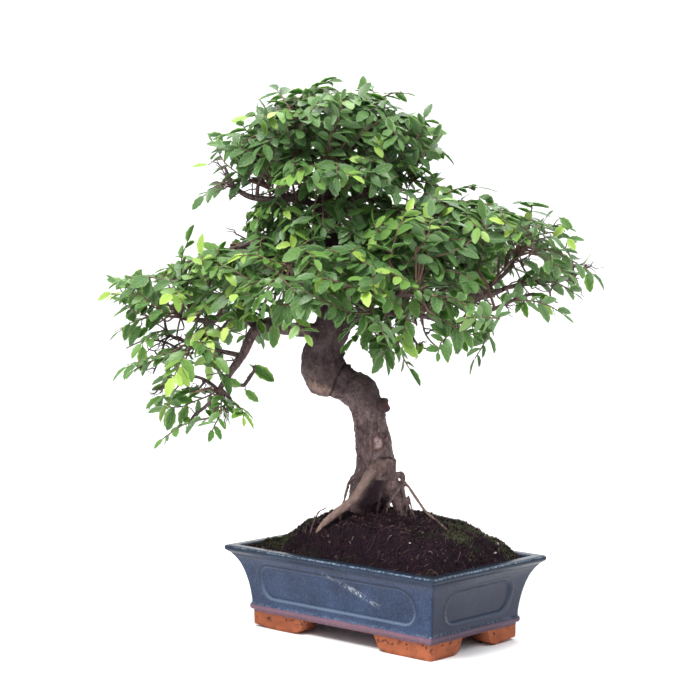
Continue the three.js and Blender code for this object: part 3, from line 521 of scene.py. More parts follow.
clay = use_group(tree, blotches, Vector=where, Scale=75.0, Contrast=2.4, Dark=CLAY_DARK, Light=RED_CLAY)
clay_colour = blend(tree, 0.35, clay["Color"], RED_CLAY)
pit_height = ramp(tree, level, [(0.05, 0.0), (0.11, 0.75), (0.16, 1.0), (0.19, 0.5)])
pit_noise = ramp(tree, noise(tree, where, 150.0, 6.0, 0.75), [(0.54, 0.0), (0.60, 1.0)])
pits = maths(tree, "MULTIPLY", pit_noise, pit_height)
clay_colour = blend(tree, pits, clay_colour, CLAY_PIT)
# The clay is darker at the feet's bottom edge, worn and grimy, and at their top under the moulding, as
# painted shade.
grime_and_shade = ramp(tree, level, [(0.0, 0.9), (0.022, 0.6), (0.05, 0.12), (0.14, 0.1), (0.18, 0.4), (0.2, 0.8)])
grime_and_shade_patches = ramp(tree, noise(tree, where, 130.0, 4.0), [(0.42, 0.15), (0.6, 1.0)])
clay_colour = blend(tree, maths(tree, "MULTIPLY", grime_and_shade, grime_and_shade_patches), clay_colour, CLAY_DARK)
is_glazed = ramp(tree, level, [(0.181, 0.0), (0.187, 1.0)])
tree.links.new(blend(tree, is_glazed, clay_colour, glaze_colour), shader.inputs["Base Color"])
gloss = ramp(tree, is_glazed, [(0.0, 0.85), (1.0, 0.22)])
tree.links.new(gloss, shader.inputs["Roughness"])
shader.inputs["Specular IOR Level"].default_value = 0.16
clay_relief = maths(tree, "SUBTRACT", clay["Height"], pits)
clay_relief = maths(tree, "MULTIPLY", clay_relief, maths(tree, "SUBTRACT", 1.0, is_glazed))
glaze_relief = maths(tree, "MULTIPLY", noise(tree, where, 200.0, 4.0), 0.4)
set_bump(tree, shader, maths(tree, "ADD", clay_relief, glaze_relief), 0.6, 0.0008)
pot.data.materials.clear()
pot.data.materials.append(pot_finish)
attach(pot, "root")
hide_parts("pot")

# The drainage nets: two small squares of green plastic mesh, laid over the holes before
# the soil went in. Their solids are right as they are.
net_finish, _, shader, _ = new_material("net_plastic")
shader.inputs["Base Color"].default_value = (0.045, 0.065, 0.04, 1)
shader.inputs["Roughness"].default_value = 0.55
for name in ("drain_net_left", "drain_net_right"):
    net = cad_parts[name]
    net.data.materials.clear()
    net.data.materials.append(net_finish)

# The soil: dark fibrous peat, heaped up to the trunk and pressed down inside the lip. It
# is one body that fills the pot, with crumbs, root hairs and moss lying on it.
TREE_TURN = math.radians(41)
TRUNK_FOOT = (-8, -7)
SOIL_RIM = 76
SOIL_PEAK = 118
SOIL_LOW = 80
SOIL_SHOULDER = 18
SOIL_HALF_LENGTH = 119.9
SOIL_HALF_WIDTH = 70.4
SOIL_SKIRT = [(13.3, 71), (19.3, 57), (24.8, 38), (26.8, POT_FLOOR + 0.3)]


def lattice_noise(points, cell, seed):
    """Value noise from -1 to 1: draws at the corners of cubic cells, blended inside each
    cell by 3t^2 - 2t^3 along each axis."""
    draws = np.random.default_rng(seed).uniform(-1, 1, 4096)
    scaled = points / cell
    corner = np.floor(scaled).astype(np.int64)
    t = scaled - corner
    t = t * t * (3 - 2 * t)
    total = np.zeros(points.shape[:-1])
    for dx, dy, dz in np.ndindex(2, 2, 2):
        index = (corner[..., 0] + dx) * 73856093 ^ (corner[..., 1] + dy) * 19349663
        index = (index ^ (corner[..., 2] + dz) * 83492791) % 4096
        weight = (t[..., 0] if dx else 1 - t[..., 0]) * (t[..., 1] if dy else 1 - t[..., 1])
        total += draws[index] * weight * (t[..., 2] if dz else 1 - t[..., 2])
    return total


def soil_height(x, y):
    """A dome that falls with the square of the distance from the trunk, with soft lumps,
    let down to the rim by a smooth step over the shoulder."""
    dx = x - TRUNK_FOOT[0]
    dy = 1.45 * (y - TRUNK_FOOT[1])
    fall = 0.0038 - 0.0024 * smooth_step(-40, 40, dx)
    lumps = 1.6 * np.sin(0.11 * x + 1) * np.sin(0.14 * y + 2) + np.sin(0.23 * x - 0.17 * y)
    dome = np.maximum(SOIL_PEAK - fall * (dx * dx + dy * dy), SOIL_LOW) + lumps
    edge = np.minimum(SOIL_HALF_LENGTH - np.abs(x), SOIL_HALF_WIDTH - np.abs(y))
    return SOIL_RIM + (dome - SOIL_RIM) * smooth_step(0, SOIL_SHOULDER, edge)


def soil_surface(x, y):
    """The dome with clods of 9 mm and crumbs of 2.5 mm raised on it."""
    place = np.stack([x, y, soil_height(x, y)], -1)
    clods = 1.5 * lattice_noise(place, 9.0, 11) + 0.8 * lattice_noise(place, 4.0, 12)
    crumbs = 0.75 * np.abs(lattice_noise(place, 2.4, 13))
    edge = np.minimum(SOIL_HALF_LENGTH - np.abs(x), SOIL_HALF_WIDTH - np.abs(y))
    return soil_height(x, y) + (clods + crumbs) * (0.25 + 0.75 * smooth_step(0, 10, edge))


SOIL_COLUMNS = 200
SOIL_ROWS = 118
column_x = np.linspace(-SOIL_HALF_LENGTH, SOIL_HALF_LENGTH, SOIL_COLUMNS)
row_y = np.linspace(-SOIL_HALF_WIDTH, SOIL_HALF_WIDTH, SOIL_ROWS)
grid_x, grid_y = np.meshgrid(column_x, row_y)
top = np.stack([grid_x, grid_y, soil_surface(grid_x, grid_y)], -1).reshape(-1, 3)
cell_row, cell_column = np.meshgrid(np.arange(SOIL_ROWS - 1), np.arange(SOIL_COLUMNS - 1), indexing="ij")
cell = (cell_row * SOIL_COLUMNS + cell_column).ravel()
top_faces = np.column_stack([cell, cell + 1, cell + SOIL_COLUMNS + 1, cell + SOIL_COLUMNS])
front_edge = np.arange(SOIL_COLUMNS)
right_edge = np.arange(1, SOIL_ROWS) * SOIL_COLUMNS + SOIL_COLUMNS - 1
back_edge = (SOIL_ROWS - 1) * SOIL_COLUMNS + np.arange(SOIL_COLUMNS - 2, -1, -1)
left_edge = np.arange(SOIL_ROWS - 2, 0, -1) * SOIL_COLUMNS
border = np.concatenate([front_edge, right_edge, back_edge, left_edge])
skirt = [np.column_stack([top[border, :2] / (SOIL_HALF_LENGTH, SOIL_HALF_WIDTH)
                          * (HALF_LENGTH - inset, HALF_WIDTH - inset), np.full(len(border), height)])
         for inset, height in SOIL_SKIRT]
skirt_index = np.concatenate([border, len(top) + np.arange(len(border) * len(skirt))])
skirt_faces = skirt_index[band_faces(len(skirt) + 1, len(border))][:, ::-1]
soil_base = skirt_index[-len(border):][::-1][None]
soil = make_piece("soil_mound", np.concatenate([top, *skirt]) + POT_CENTRE,
                  [top_faces, skirt_faces, soil_base])

PEAT_DARK = (0.0036, 0.0021, 0.0038)
PEAT_BROWN = (0.0145, 0.0058, 0.0118)
MOSS_DARK = (0.012, 0.017, 0.007)
MOSS_GREEN = (0.055, 0.080, 0.018)
STRAND_BROWN = (0.034, 0.015, 0.016)
GRIT_PALE = (0.12, 0.085, 0.085)
soil_finish, tree, shader, where = new_material("potting_soil")
peat = use_group(tree, blotches, Vector=where, Scale=170.0, Contrast=2.4, Dark=PEAT_DARK, Light=PEAT_BROWN)
strands = add_node(tree, "ShaderNodeTexVoronoi", {"Vector": where, "Scale": 260.0},
                   feature="DISTANCE_TO_EDGE").outputs["Distance"]
strand_mask = ramp(tree, strands, [(0.0, 0.6), (0.07, 0.0)])
peat_colour = blend(tree, strand_mask, peat["Color"], STRAND_BROWN)
moss_place = ramp(tree, noise(tree, where, 26.0, 4.0), [(0.56, 0.0), (0.66, 0.7)])
peat_colour = blend(tree, moss_place, peat_colour, MOSS_DARK)
pale_grit = use_group(tree, specks, Vector=where, Scale=330.0, Cover=0.2)["Mask"]
peat_colour = blend(tree, maths(tree, "MULTIPLY", pale_grit, 0.35), peat_colour, GRIT_PALE)
tree.links.new(peat_colour, shader.inputs["Base Color"])
shader.inputs["Roughness"].default_value = 0.92
shader.inputs["Specular IOR Level"].default_value = 0.12
set_bump(tree, shader, maths(tree, "ADD", noise(tree, where, 700.0, 4.0, 0.7), strand_mask), 0.8, 0.001)
soil.data.materials.append(soil_finish)
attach(soil, "root")
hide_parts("soil")

# What lies on the soil: crumbs of bark and peat, fine dead roots, and tufts of moss that
# grow at the left end and behind the trunk on the right. Nothing lies at the very lip.
SOIL_EDGE_CLEAR = 3


def scatter(count, seed):
    """Even draws over the open soil, in the pot's frame."""
    draw = np.random.default_rng(seed)
    x = draw.uniform(-1, 1, count) * (SOIL_HALF_LENGTH - SOIL_EDGE_CLEAR)
    y = draw.uniform(-1, 1, count) * (SOIL_HALF_WIDTH - SOIL_EDGE_CLEAR)
    return x, y, draw


def unit(vectors):
    """The same directions at length 1."""
    return vectors / np.maximum(np.linalg.norm(vectors, axis=-1, keepdims=True), 1e-9)


def tubes(paths, radii, sides):
    """Closed tubes along many paths at once. paths is stations by tubes by 3, and radii is
    stations by tubes. Each ring lies square to the path, turned from a fixed direction, and
    each end is closed by one face."""
    stations, count, _ = paths.shape
    along = unit(np.gradient(paths, axis=0))
    whole = unit(paths[-1] - paths[0])
    axis = np.eye(3)[np.abs(whole).argmin(-1)]
    side = unit(np.cross(along, axis[None]))
    up = np.cross(side, along)
    turn = np.linspace(0, 2 * math.pi, sides, endpoint=False)[None, None, :, None]
    ring = np.cos(turn) * up[:, :, None] + np.sin(turn) * side[:, :, None]
    points = paths[:, :, None] + radii[:, :, None, None] * ring
    points = points.transpose(1, 0, 2, 3).reshape(-1, 3)
    step = stations * sides
    bands = band_faces(stations, sides)[None] + (np.arange(count) * step)[:, None, None]
    ends = np.stack([np.arange(sides)[::-1], (stations - 1) * sides + np.arange(sides)])
    ends = ends[None] + (np.arange(count) * step)[:, None, None]
    return points, [bands.reshape(-1, 4), ends.reshape(-1, sides)]


CRUMB_COUNT = 3200
x, y, draw = scatter(CRUMB_COUNT, 21)
crumb_size = 0.4 + 1.5 * draw.random(CRUMB_COUNT) ** 3
octahedron = np.array([[1, 0, 0], [0, 1, 0], [-1, 0, 0], [0, -1, 0], [0, 0, 1], [0, 0, -1]], float)
octahedron_faces = np.array([[0, 1, 4], [1, 2, 4], [2, 3, 4], [3, 0, 4],
                             [1, 0, 5], [2, 1, 5], [3, 2, 5], [0, 3, 5]])
stretch = draw.uniform(0.6, 1.5, (CRUMB_COUNT, 1, 3)) * crumb_size[:, None, None]
yaw = draw.uniform(0, 2 * math.pi, CRUMB_COUNT)[:, None]
crumb = octahedron[None] * stretch
crumb = crumb + draw.uniform(-0.18, 0.18, (CRUMB_COUNT, 6, 3)) * crumb_size[:, None, None]
crumb = np.stack([crumb[..., 0] * np.cos(yaw) - crumb[..., 1] * np.sin(yaw),
                  crumb[..., 0] * np.sin(yaw) + crumb[..., 1] * np.cos(yaw), crumb[..., 2]], -1)
crumb += np.stack([x, y, soil_surface(x, y) + 0.25 * crumb_size], -1)[:, None]
crumb_faces = octahedron_faces[None] + 6 * np.arange(CRUMB_COUNT)[:, None, None]
crumbs = make_piece("soil_crumbs", crumb.reshape(-1, 3) + POT_CENTRE, [crumb_faces.reshape(-1, 3)])
set_tone(crumbs, "tone", np.repeat(draw.random(CRUMB_COUNT) ** 1.6, 6))
crumb_finish, tree, shader, _ = new_material("soil_crumb")
tone = tone_of(tree, "tone")
tree.links.new(ramp(tree, tone, [(0.0, PEAT_DARK), (0.55, PEAT_BROWN), (0.80, (0.055, 0.025, 0.020)),
                                 (0.97, (0.09, 0.065, 0.055)), (0.99, (0.38, 0.34, 0.32))]),
               shader.inputs["Base Color"])
shader.inputs["Roughness"].default_value = 0.9
shader.inputs["Specular IOR Level"].default_value = 0.15
crumbs.data.materials.append(crumb_finish)
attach(crumbs, "root")

FIBRE_COUNT = 5200
FIBRE_STATIONS = 5
x, y, draw = scatter(FIBRE_COUNT, 22)
heading = draw.uniform(0, 2 * math.pi, FIBRE_COUNT)
curl = draw.normal(0, 0.26, FIBRE_COUNT)
fibre_length = 3.5 + 16 * draw.random(FIBRE_COUNT) ** 2.4
step = np.arange(FIBRE_STATIONS)[:, None] / (FIBRE_STATIONS - 1)
bearing = heading + curl * step * fibre_length
fibre_x = x + np.cumsum(np.cos(bearing), 0) * fibre_length / FIBRE_STATIONS
fibre_y = y + np.cumsum(np.sin(bearing), 0) * fibre_length / FIBRE_STATIONS
downhill = unit(np.stack([x - TRUNK_FOOT[0], 2.1 * (y - TRUNK_FOOT[1])], -1))
run_down = 0.6 * ((fibre_x - x) * downhill[:, 0] + (fibre_y - y) * downhill[:, 1])
fibre_x = fibre_x - run_down * downhill[:, 0]
fibre_y = fibre_y - run_down * downhill[:, 1]
fibre_x = np.clip(fibre_x, 1.5 - SOIL_HALF_LENGTH, SOIL_HALF_LENGTH - 1.5)
fibre_y = np.clip(fibre_y, 1.5 - SOIL_HALF_WIDTH, SOIL_HALF_WIDTH - 1.5)
lift = draw.uniform(0, 2.6, FIBRE_COUNT) * np.sin(math.pi * step * draw.uniform(0.6, 1.4, FIBRE_COUNT))
lift = lift * np.where(draw.random(FIBRE_COUNT) > 0.93, 2.4, 1.0)
fibre_z = soil_surface(fibre_x, fibre_y) + 0.15 + np.maximum(lift, -0.2)
fibre_radius = (0.14 + 0.34 * draw.random(FIBRE_COUNT) ** 3) * (1 - 0.6 * step)
fibre_points, fibre_faces = tubes(np.stack([fibre_x, fibre_y, fibre_z], -1), fibre_radius, 3)
fibres = make_piece("root_fibres", fibre_points + POT_CENTRE, fibre_faces)
set_tone(fibres, "tone", np.repeat(draw.random(FIBRE_COUNT), 3 * FIBRE_STATIONS))
fibre_finish, tree, shader, _ = new_material("root_fibre")
tone = tone_of(tree, "tone")
tree.links.new(ramp(tree, tone, [(0.0, (0.006, 0.003, 0.005)), (0.5, (0.024, 0.010, 0.016)),
                                 (0.88, (0.068, 0.030, 0.038)), (0.975, (0.135, 0.085, 0.080)),
                                 (1.0, (0.30, 0.23, 0.20))]),
               shader.inputs["Base Color"])
shader.inputs["Roughness"].default_value = 0.8
shader.inputs["Specular IOR Level"].default_value = 0.2
fibres.data.materials.append(fibre_finish)
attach(fibres, "root")

# Moss grows in patches, each given by its middle, its reach and how thick it grows.
MOSS_PATCHES = [(-100, -38, 16, 620), (-88, -52, 12, 260), (-66, -30, 9, 160), (70, 30, 26, 760),
                (96, -6, 14, 420), (40, 46, 16, 300), (-20, 44, 18, 300), (104, 44, 10, 180)]
draw = np.random.default_rng(23)
moss_spots = []
for middle_x, middle_y, reach, count in MOSS_PATCHES:
    spot_x = middle_x + reach * draw.normal(0, 0.55, count)
    spot_y = middle_y + reach * draw.normal(0, 0.55, count)
    moss_spots.append(np.column_stack([spot_x, spot_y]))
moss_spots = np.concatenate(moss_spots)
inside = (np.abs(moss_spots) < (SOIL_HALF_LENGTH - 2, SOIL_HALF_WIDTH - 2)).all(1)
moss_spots = moss_spots[inside]
moss_count = len(moss_spots)
moss_foot = np.column_stack([moss_spots, soil_surface(*moss_spots.T) - 0.2])
moss_lean = np.column_stack([draw.normal(0, 0.5, (moss_count, 2)), np.ones(moss_count)])
moss_tip = moss_foot + unit(moss_lean) * draw.uniform(1.2, 3.4, moss_count)[:, None]
moss_path = np.stack([moss_foot, (moss_foot + moss_tip) / 2, moss_tip])
moss_radius = draw.uniform(0.25, 0.5, moss_count) * np.array([[1.0], [0.9], [0.15]])
moss_points, moss_faces = tubes(moss_path, moss_radius, 3)
moss = make_piece("moss_tufts", moss_points + POT_CENTRE, moss_faces)
set_tone(moss, "tone", np.repeat(draw.random(moss_count), 9))
moss_finish, tree, shader, _ = new_material("moss_green")
tone = tone_of(tree, "tone")
tree.links.new(ramp(tree, tone, [(0.0, MOSS_DARK), (0.6, (0.05, 0.065, 0.018)), (1.0, MOSS_GREEN)]),
               shader.inputs["Base Color"])
shader.inputs["Roughness"].default_value = 0.8
moss.data.materials.append(moss_finish)
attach(moss, "root")

# The wood: trunk, boughs and roots grown as one piece. The trunk bends like an S, carries
# a round scar and a pruned knob, and stands on roots that leave it above the soil.
# Its frame has x to the tree's right and y away from the viewer.
# Cross-sections of the trunk seen from the front: left edge x, z and right edge x, z.
TRUNK_SECTIONS = [
    (-20, 52, -6, 52), (-30, 78, -2, 78), (-39, 102, 3, 100), (-35, 120, 4, 117.6),
    (-31.5, 131, 8, 131), (-30, 143.7, 12.7, 145), (-24.9, 157.1, 11.8, 159), (-24.9, 173, 8.7, 177),
    (-26.9, 192.9, 4.7, 194.5), (-30.8, 210.1, 0.9, 211.5), (-36.6, 217.8, -2.6, 224.7),
    (-42.3, 221.1, -7.2, 236.7), (-49.5, 223, -17, 244.8), (-58, 224.6, -27, 249.2),
    (-67.1, 227.6, -32.5, 252.6), (-73.7, 237.5, -36.4, 257.6), (-77, 249.7, -38.8, 263.5),
    (-74.9, 266.8, -38.6, 271.5), (-69.5, 280, -31, 283), (-61, 303, -28, 305), (-56, 336, -31, 337),
    (-54.5, 366, -34, 366), (-61, 401, -47, 405), (-53.5, 434, -44, 437), (-40, 471, -32.5, 473.5),
    (-30, 498, -26, 500),
]
TRUNK_DEPTH_SHARE = 0.92
# Boughs and roots as points x, y, z and radius.
BOUGHS = {
    "low_left": [(-56, 0, 285, 8), (-88, -10, 288, 6.2), (-116, -20, 289, 5.4), (-129, -26, 266, 4.4),
                 (-141, -32, 248.5, 3.6), (-152, -38, 231, 2.4)],
    "mid_left": [(-45, 0, 315, 7), (-84, -8, 306, 4.6), (-112, -14, 294, 4), (-148, -16, 300, 3.4),
                 (-160, -16, 295.5, 3), (-188, -14, 298.5, 2.2)],
    "left_twig": [(-138, -16, 299, 2.8), (-158, -26, 280, 2.2), (-176, -34, 274, 1.8)],
    "right": [(-48, 0, 294, 9), (0, -4, 303, 5.4), (36, -8, 309, 4.8), (70, -10, 315, 4.2),
              (98, -10, 320, 3.2), (116, -12, 327, 2)],
    "right_rising": [(66, -10, 314, 3.6), (98, -8, 328, 2.8), (116, -6, 343, 2.2), (124, -4, 356, 1.8)],
    "right_low": [(-44, -2, 304, 6), (4, -28, 304, 3.6), (37, -40, 302, 2.8), (61, -44, 295, 2.5),
                  (80, -44, 300, 2.4), (102, -46, 309, 1.8)],
    "right_back": [(22, -6, 307, 4), (52, 28, 320, 3), (78, 50, 331, 2)],
    "front": [(-43, 0, 328, 6), (-32, -40, 322, 4), (-22, -62, 315, 2.8), (-14, -82, 309, 2)],
    "front_left": [(-36, -30, 325, 3.8), (-66, -58, 332, 3), (-92, -80, 334, 2)],
    "front_right": [(-28, -48, 320, 3.4), (8, -70, 322, 2.6), (30, -82, 323, 2)],
    "back": [(-44, 0, 338, 7), (-46, 36, 345, 4.4), (-38, 66, 353, 3), (-35, 84, 354, 2.2)],
    "back_left": [(-46, 34, 344, 4), (-72, 54, 349, 3), (-94, 68, 348, 2)],
    "back_right": [(-41, 56, 350, 3.4), (-14, 78, 357, 2.6), (10, 90, 358, 2)],
    "upper_left": [(-44, 0, 352, 6), (-86, -8, 366, 4), (-118, -10, 368, 3), (-146, -7, 361, 2)],
    "upper_right": [(-44, 0, 362, 6), (-8, -6, 380, 3.6), (24, -11, 388, 2.8), (48, -13, 392, 2)],
    "crown_left": [(-54, 0, 398, 5.4), (-80, -3, 410, 3.2), (-94, -5, 413, 2.4), (-106, -7, 418, 2)],
    "crown_right": [(-54, 0, 398, 5), (-30, -9, 408, 3.2), (-12, -11, 415, 2.4), (0, -12, 419, 2)],
    "crown_front": [(-55, 0, 414, 4.4), (-52, -24, 426, 2.8), (-48, -38, 432, 2)],
    "crown_back": [(-55, 0, 420, 4.4), (-50, 24, 432, 2.8), (-45, 40, 438, 2)],
    "crown_high_left": [(-50, 0, 434, 4), (-66, -10, 447, 2.6), (-75, -16, 455, 2)],
    "crown_high_right": [(-46, 0, 446, 4), (-28, 5, 458, 2.6), (-14, 8, 466, 2)],
}
ROOTS = {
    "aerial": [(9, -7, 160.6, 7.4), (-1.6, -16.5, 162.2, 6.2), (-10.9, -21.5, 155.6, 5.2),
               (-18.5, -25, 143.4, 4.5), (-26.2, -26, 131.9, 4.2), (-36.8, -25, 122.4, 4),
               (-47.6, -21.5, 113.4, 3.6), (-57, -17, 103.6, 3), (-63, -14, 93, 2.2)],
    "right_stub": [(0, -5, 162, 8), (6, -10, 149, 7.4), (12, -14, 131, 6.4), (17.5, -17, 116, 5.4),
                   (26, -21, 98, 3.4)],
    "hanging": [(4, -6, 150, 3), (14, -9, 153, 2), (19.3, -10, 150.7, 2), (18.5, -14, 139.7, 2),
                (21.7, -18, 127, 1.8), (27.5, -24, 115, 1.6), (33, -29, 103, 1.4)],
    "long_right": [(16.5, -9, 146, 1.6), (21.9, -10, 142.9, 1.6), (34.7, -20, 125.8, 1.6),
                   (42.7, -30, 117.4, 1.6), (57.6, -50, 107.5, 1.5), (66, -56, 98, 1.4)],
    "left_thin": [(-22, -6, 152, 2.4), (-29.5, -10, 147, 2), (-33.6, -14, 137.6, 1.7),
                  (-37.2, -18, 122.2, 1.5), (-40, -20, 108, 1.4)],
    "back_left": [(-14, 8, 132, 8), (-30, 22, 118, 6), (-48, 34, 104, 4), (-62, 42, 90, 2.4)],
    "back_right": [(-8, 10, 124, 7.4), (2, 26, 108, 5.6), (18, 42, 96, 4), (32, 52, 86, 2.4)],
    "crossing": [(16, -9, 151, 1.9), (18.9, -14, 145.9, 1.6), (15.2, -21, 139.5, 1.5),
                 (10.2, -24, 133, 1.4), (4.7, -26, 122.8, 1.3), (1.5, -27, 110, 1.1)],
    "strand_right": [(15.4, -15, 142, 1.5), (19.4, -19, 136, 1.2), (22.3, -22, 127, 1.1),
                     (22.4, -25, 119, 1.0), (19, -28, 107, 0.9)],
    "strand_low": [(24, -20, 134, 1.3), (26, -24, 126, 1.2), (28, -27, 119, 1.1), (34, -33, 104, 1)],
    "strand_inner": [(2, -11, 141, 1.6), (-1.6, -16, 130, 1.3), (-4.1, -20, 122.9, 1.2),
                     (-7, -24, 110, 1)],
    "dead_left": [(-68, -15, 96, 1.3), (-65, -13, 106, 1.2), (-62.6, -11, 112, 1.2), (-60, -10, 116.4, 1.1),
                  (-56, -10, 118.6, 1.1), (-52, -10, 121, 1)],
}
# The pruned knob and the scar as round swellings, middle and radius, and where they face.
KNOB_TOP = (1.6, -2, 219.2, 4.3)
KNOB_FOOT = (2.6, -2, 213.8, 4.2)
KNOB_FACE = (3.4, -5, 216)
SCAR = (2.2, -8.6, 186, 5)
SCAR_FACE = (-4.5, -16, 182)
WOOD_VOXEL = 1.17
# A fold where the upper trunk turns out of the lower, dented and painted dark as shade in the crease: x, y, z
# down its front.
FOLD = [(-34.5, 0, 258), (-39.1, 0, 250), (-42.1, 0, 244), (-45.2, 0, 236.6), (-47.4, 0, 230.1),
        (-50, 0, 224)]
WRINKLE = [(-1, -16, 168.2), (2.7, -15, 168.8), (8.6, -9, 167.4)]
# The shaded hollow between the aerial root and the leg to its right, and the torn bark
# in the inner bend.
HOLLOW = [(-3.6, -14, 145), (-8, -14, 137), (-10, -14, 130), (-16, -15, 122), (-8, -15, 120), (0, -13, 122),
          (-4, -14, 112), (-14, -16, 112)]
TORN_BARK = [(-40.2, 0, 264), (-37.7, -3, 257), (-33.5, 0, 252)]
SCAR_LINE = [(-3, -17, 176), (-4, -17, 172.6), (-5.2, -17, 169.6)]


def to_pot(points):
    """Turns points of the tree's frame about the upright and moves them to the pot."""
    x, y, z = np.moveaxis(np.asarray(points, float), -1, 0)
    turned = [x * math.cos(TREE_TURN) - y * math.sin(TREE_TURN),
              x * math.sin(TREE_TURN) + y * math.cos(TREE_TURN), z]
    return np.stack(turned, -1) + POT_CENTRE


def limb(points, steps):
    """One limb as a tube along a smooth path through its points."""
    path = smooth_path(points, steps)[:, None]
    return tubes(path[..., :3], path[..., 3], 14)


def trunk_skin(sides=72, steps=7):
    """Oval rings between the two edges of each cross-section, with three soft lobes that
    turn slowly up the trunk."""
    sections = smooth_path(TRUNK_SECTIONS, steps)
    left = np.column_stack([sections[:, 0], np.zeros(len(sections)), sections[:, 1]])
    right = np.column_stack([sections[:, 2], np.zeros(len(sections)), sections[:, 3]])
    across = (right - left) / 2
    half = np.linalg.norm(across, axis=1)[:, None]
    turn = np.linspace(0, 2 * math.pi, sides, endpoint=False)[None]
    station = np.arange(len(sections))[:, None] / steps
    lobes = 1 + 0.05 * np.sin(3 * turn + 0.7 * station) * np.sin(turn) ** 2
    depth = half * TRUNK_DEPTH_SHARE * lobes * np.sin(turn)
    points = (left + right)[:, None] / 2 + np.cos(turn)[..., None] * across[:, None]
    points[..., 1] += depth
    ends = np.stack([np.arange(sides)[::-1], (len(sections) - 1) * sides + np.arange(sides)])
    return points.reshape(-1, 3), [band_faces(len(sections), sides), ends]


def ball(middle, radius):
    """A round swelling, as a short tube that closes to a point at both ends."""
    turn = np.linspace(0.02, math.pi - 0.02, 13)
    path = np.column_stack([np.zeros(13), np.zeros(13), -radius * np.cos(turn)]) + middle
    return tubes(path[:, None], (radius * np.sin(turn))[:, None], 18)


def join(parts):
    """Points and faces of several closed skins in one list."""
    points = np.concatenate([part[0] for part in parts])
    starts = np.cumsum([0] + [len(part[0]) for part in parts[:-1]])
    groups = [group + start for part, start in zip(parts, starts) for group in part[1]]
    return points, groups


def nearness(points, line, reach):
    """1 on a line of points, falling to 0 at the reach from it by a smooth step."""
    marks = smooth_path(line, 12)[:, :3]
    distance = np.full(len(points), np.inf)
    for mark in marks:
        distance = np.minimum(distance, np.linalg.norm(points - mark, axis=1))
    return 1 - smooth_step(0, reach, distance)


wood_parts = [trunk_skin()] + [ball(swelling[:3], swelling[3]) for swelling in (KNOB_TOP, KNOB_FOOT, SCAR)]
wood_parts += [limb(points, 8) for points in [*BOUGHS.values(), *ROOTS.values()]]
wood_points, wood_faces = join(wood_parts)
wood = make_piece("elm_wood", wood_points, wood_faces)
grown = wood.modifiers.new("grown together", "REMESH")
grown.mode = "VOXEL"
grown.voxel_size = WOOD_VOXEL * MM
grown.use_smooth_shade = True
eased = wood.modifiers.new("eased joints", "SMOOTH")
eased.factor = 0.5
eased.iterations = 5
apply_modifiers(wood)

bark_points, bark_normals = read_vertices(wood)
vertex_count = len(bark_points)
trunk_middle = (smooth_path(TRUNK_SECTIONS, 4)[:, :2] + smooth_path(TRUNK_SECTIONS, 4)[:, 2:]) / 2
from_middle = np.full(vertex_count, np.inf)
for middle_x, middle_z in trunk_middle:
    from_middle = np.minimum(from_middle, np.linalg.norm(bark_points - (middle_x, 0, middle_z), axis=1))
on_trunk = 1 - smooth_step(22, 30, from_middle)
seen_in_front = bark_points[:, 1] < 3
fold = nearness(bark_points * (1, 0, 1), FOLD, 2.6) * seen_in_front
wrinkle = nearness(bark_points, WRINKLE, 2.2)
hollow = nearness(bark_points, HOLLOW, 11.5) * (bark_points[:, 2] < 148)
torn_bark = nearness(bark_points, TORN_BARK, 13.0)
from_scar = np.linalg.norm((bark_points - SCAR_FACE) * (1.15, 1, 0.85), axis=1)
from_scar += 1.3 * lattice_noise(bark_points, 3.0, 34)
scar = 1 - smooth_step(3.2, 6.0, from_scar)
scar = np.maximum(scar, 0.8 * nearness(bark_points, SCAR_LINE, 1.8))
scar_rim = np.exp(-((from_scar - 6.2) / 1.7) ** 2)
knob_face = 1 - smooth_step(2.2, 4.4, np.linalg.norm(bark_points - KNOB_FACE, axis=1))
root_bark = np.maximum(nearness(bark_points, ROOTS["aerial"], 8.4),
                       nearness(bark_points, ROOTS["long_right"], 4.0))
# The bulge above the fold is painted darkest, with the shade colour, down to a tan patch at its foot.
bulge = smooth_step(224, 246, bark_points[:, 2] + 0.55 * (bark_points[:, 0] + 50)) * on_trunk
tan_patch = nearness(bark_points, [(-64, -14, 234), (-52, -17, 229)], 10.0)
# The bark's relief: swellings, furrows stretched up the trunk, fine plates and torn edges.
stretched = bark_points * (1.0, 1.0, 0.5)
relief = 0.5 * lattice_noise(bark_points, 16.0, 31) * on_trunk
relief += 0.75 * lattice_noise(stretched, 4.0, 32) * (0.35 + 0.65 * on_trunk)
relief += 0.80 * lattice_noise(bark_points, 2.4, 33) * (0.4 + 0.6 * on_trunk)
relief += 3.4 * torn_bark * np.abs(lattice_noise(bark_points, 2.6, 35))
relief -= 1.5 * fold + 0.9 * wrinkle + 4.0 * hollow - 0.7 * scar_rim - 0.5 * scar
bark_points = bark_points + bark_normals * relief[:, None]
wood.data.vertices.foreach_set("co", (to_pot(bark_points) * MM).astype(np.float32).ravel())
wood.data.update()
set_tone(wood, "fold", smooth_step(0.35, 0.85, np.maximum(fold, wrinkle)))
shade = 0.95 * smooth_step(0, 0.65, hollow) + 0.62 * bulge * (1 - tan_patch) + 0.5 * torn_bark
set_tone(wood, "shade", np.clip(shade, 0, 1))
set_tone(wood, "tan", tan_patch)
set_tone(wood, "scar", scar)
set_tone(wood, "scar_rim", np.maximum(scar_rim, knob_face))
set_tone(wood, "root_bark", root_bark)

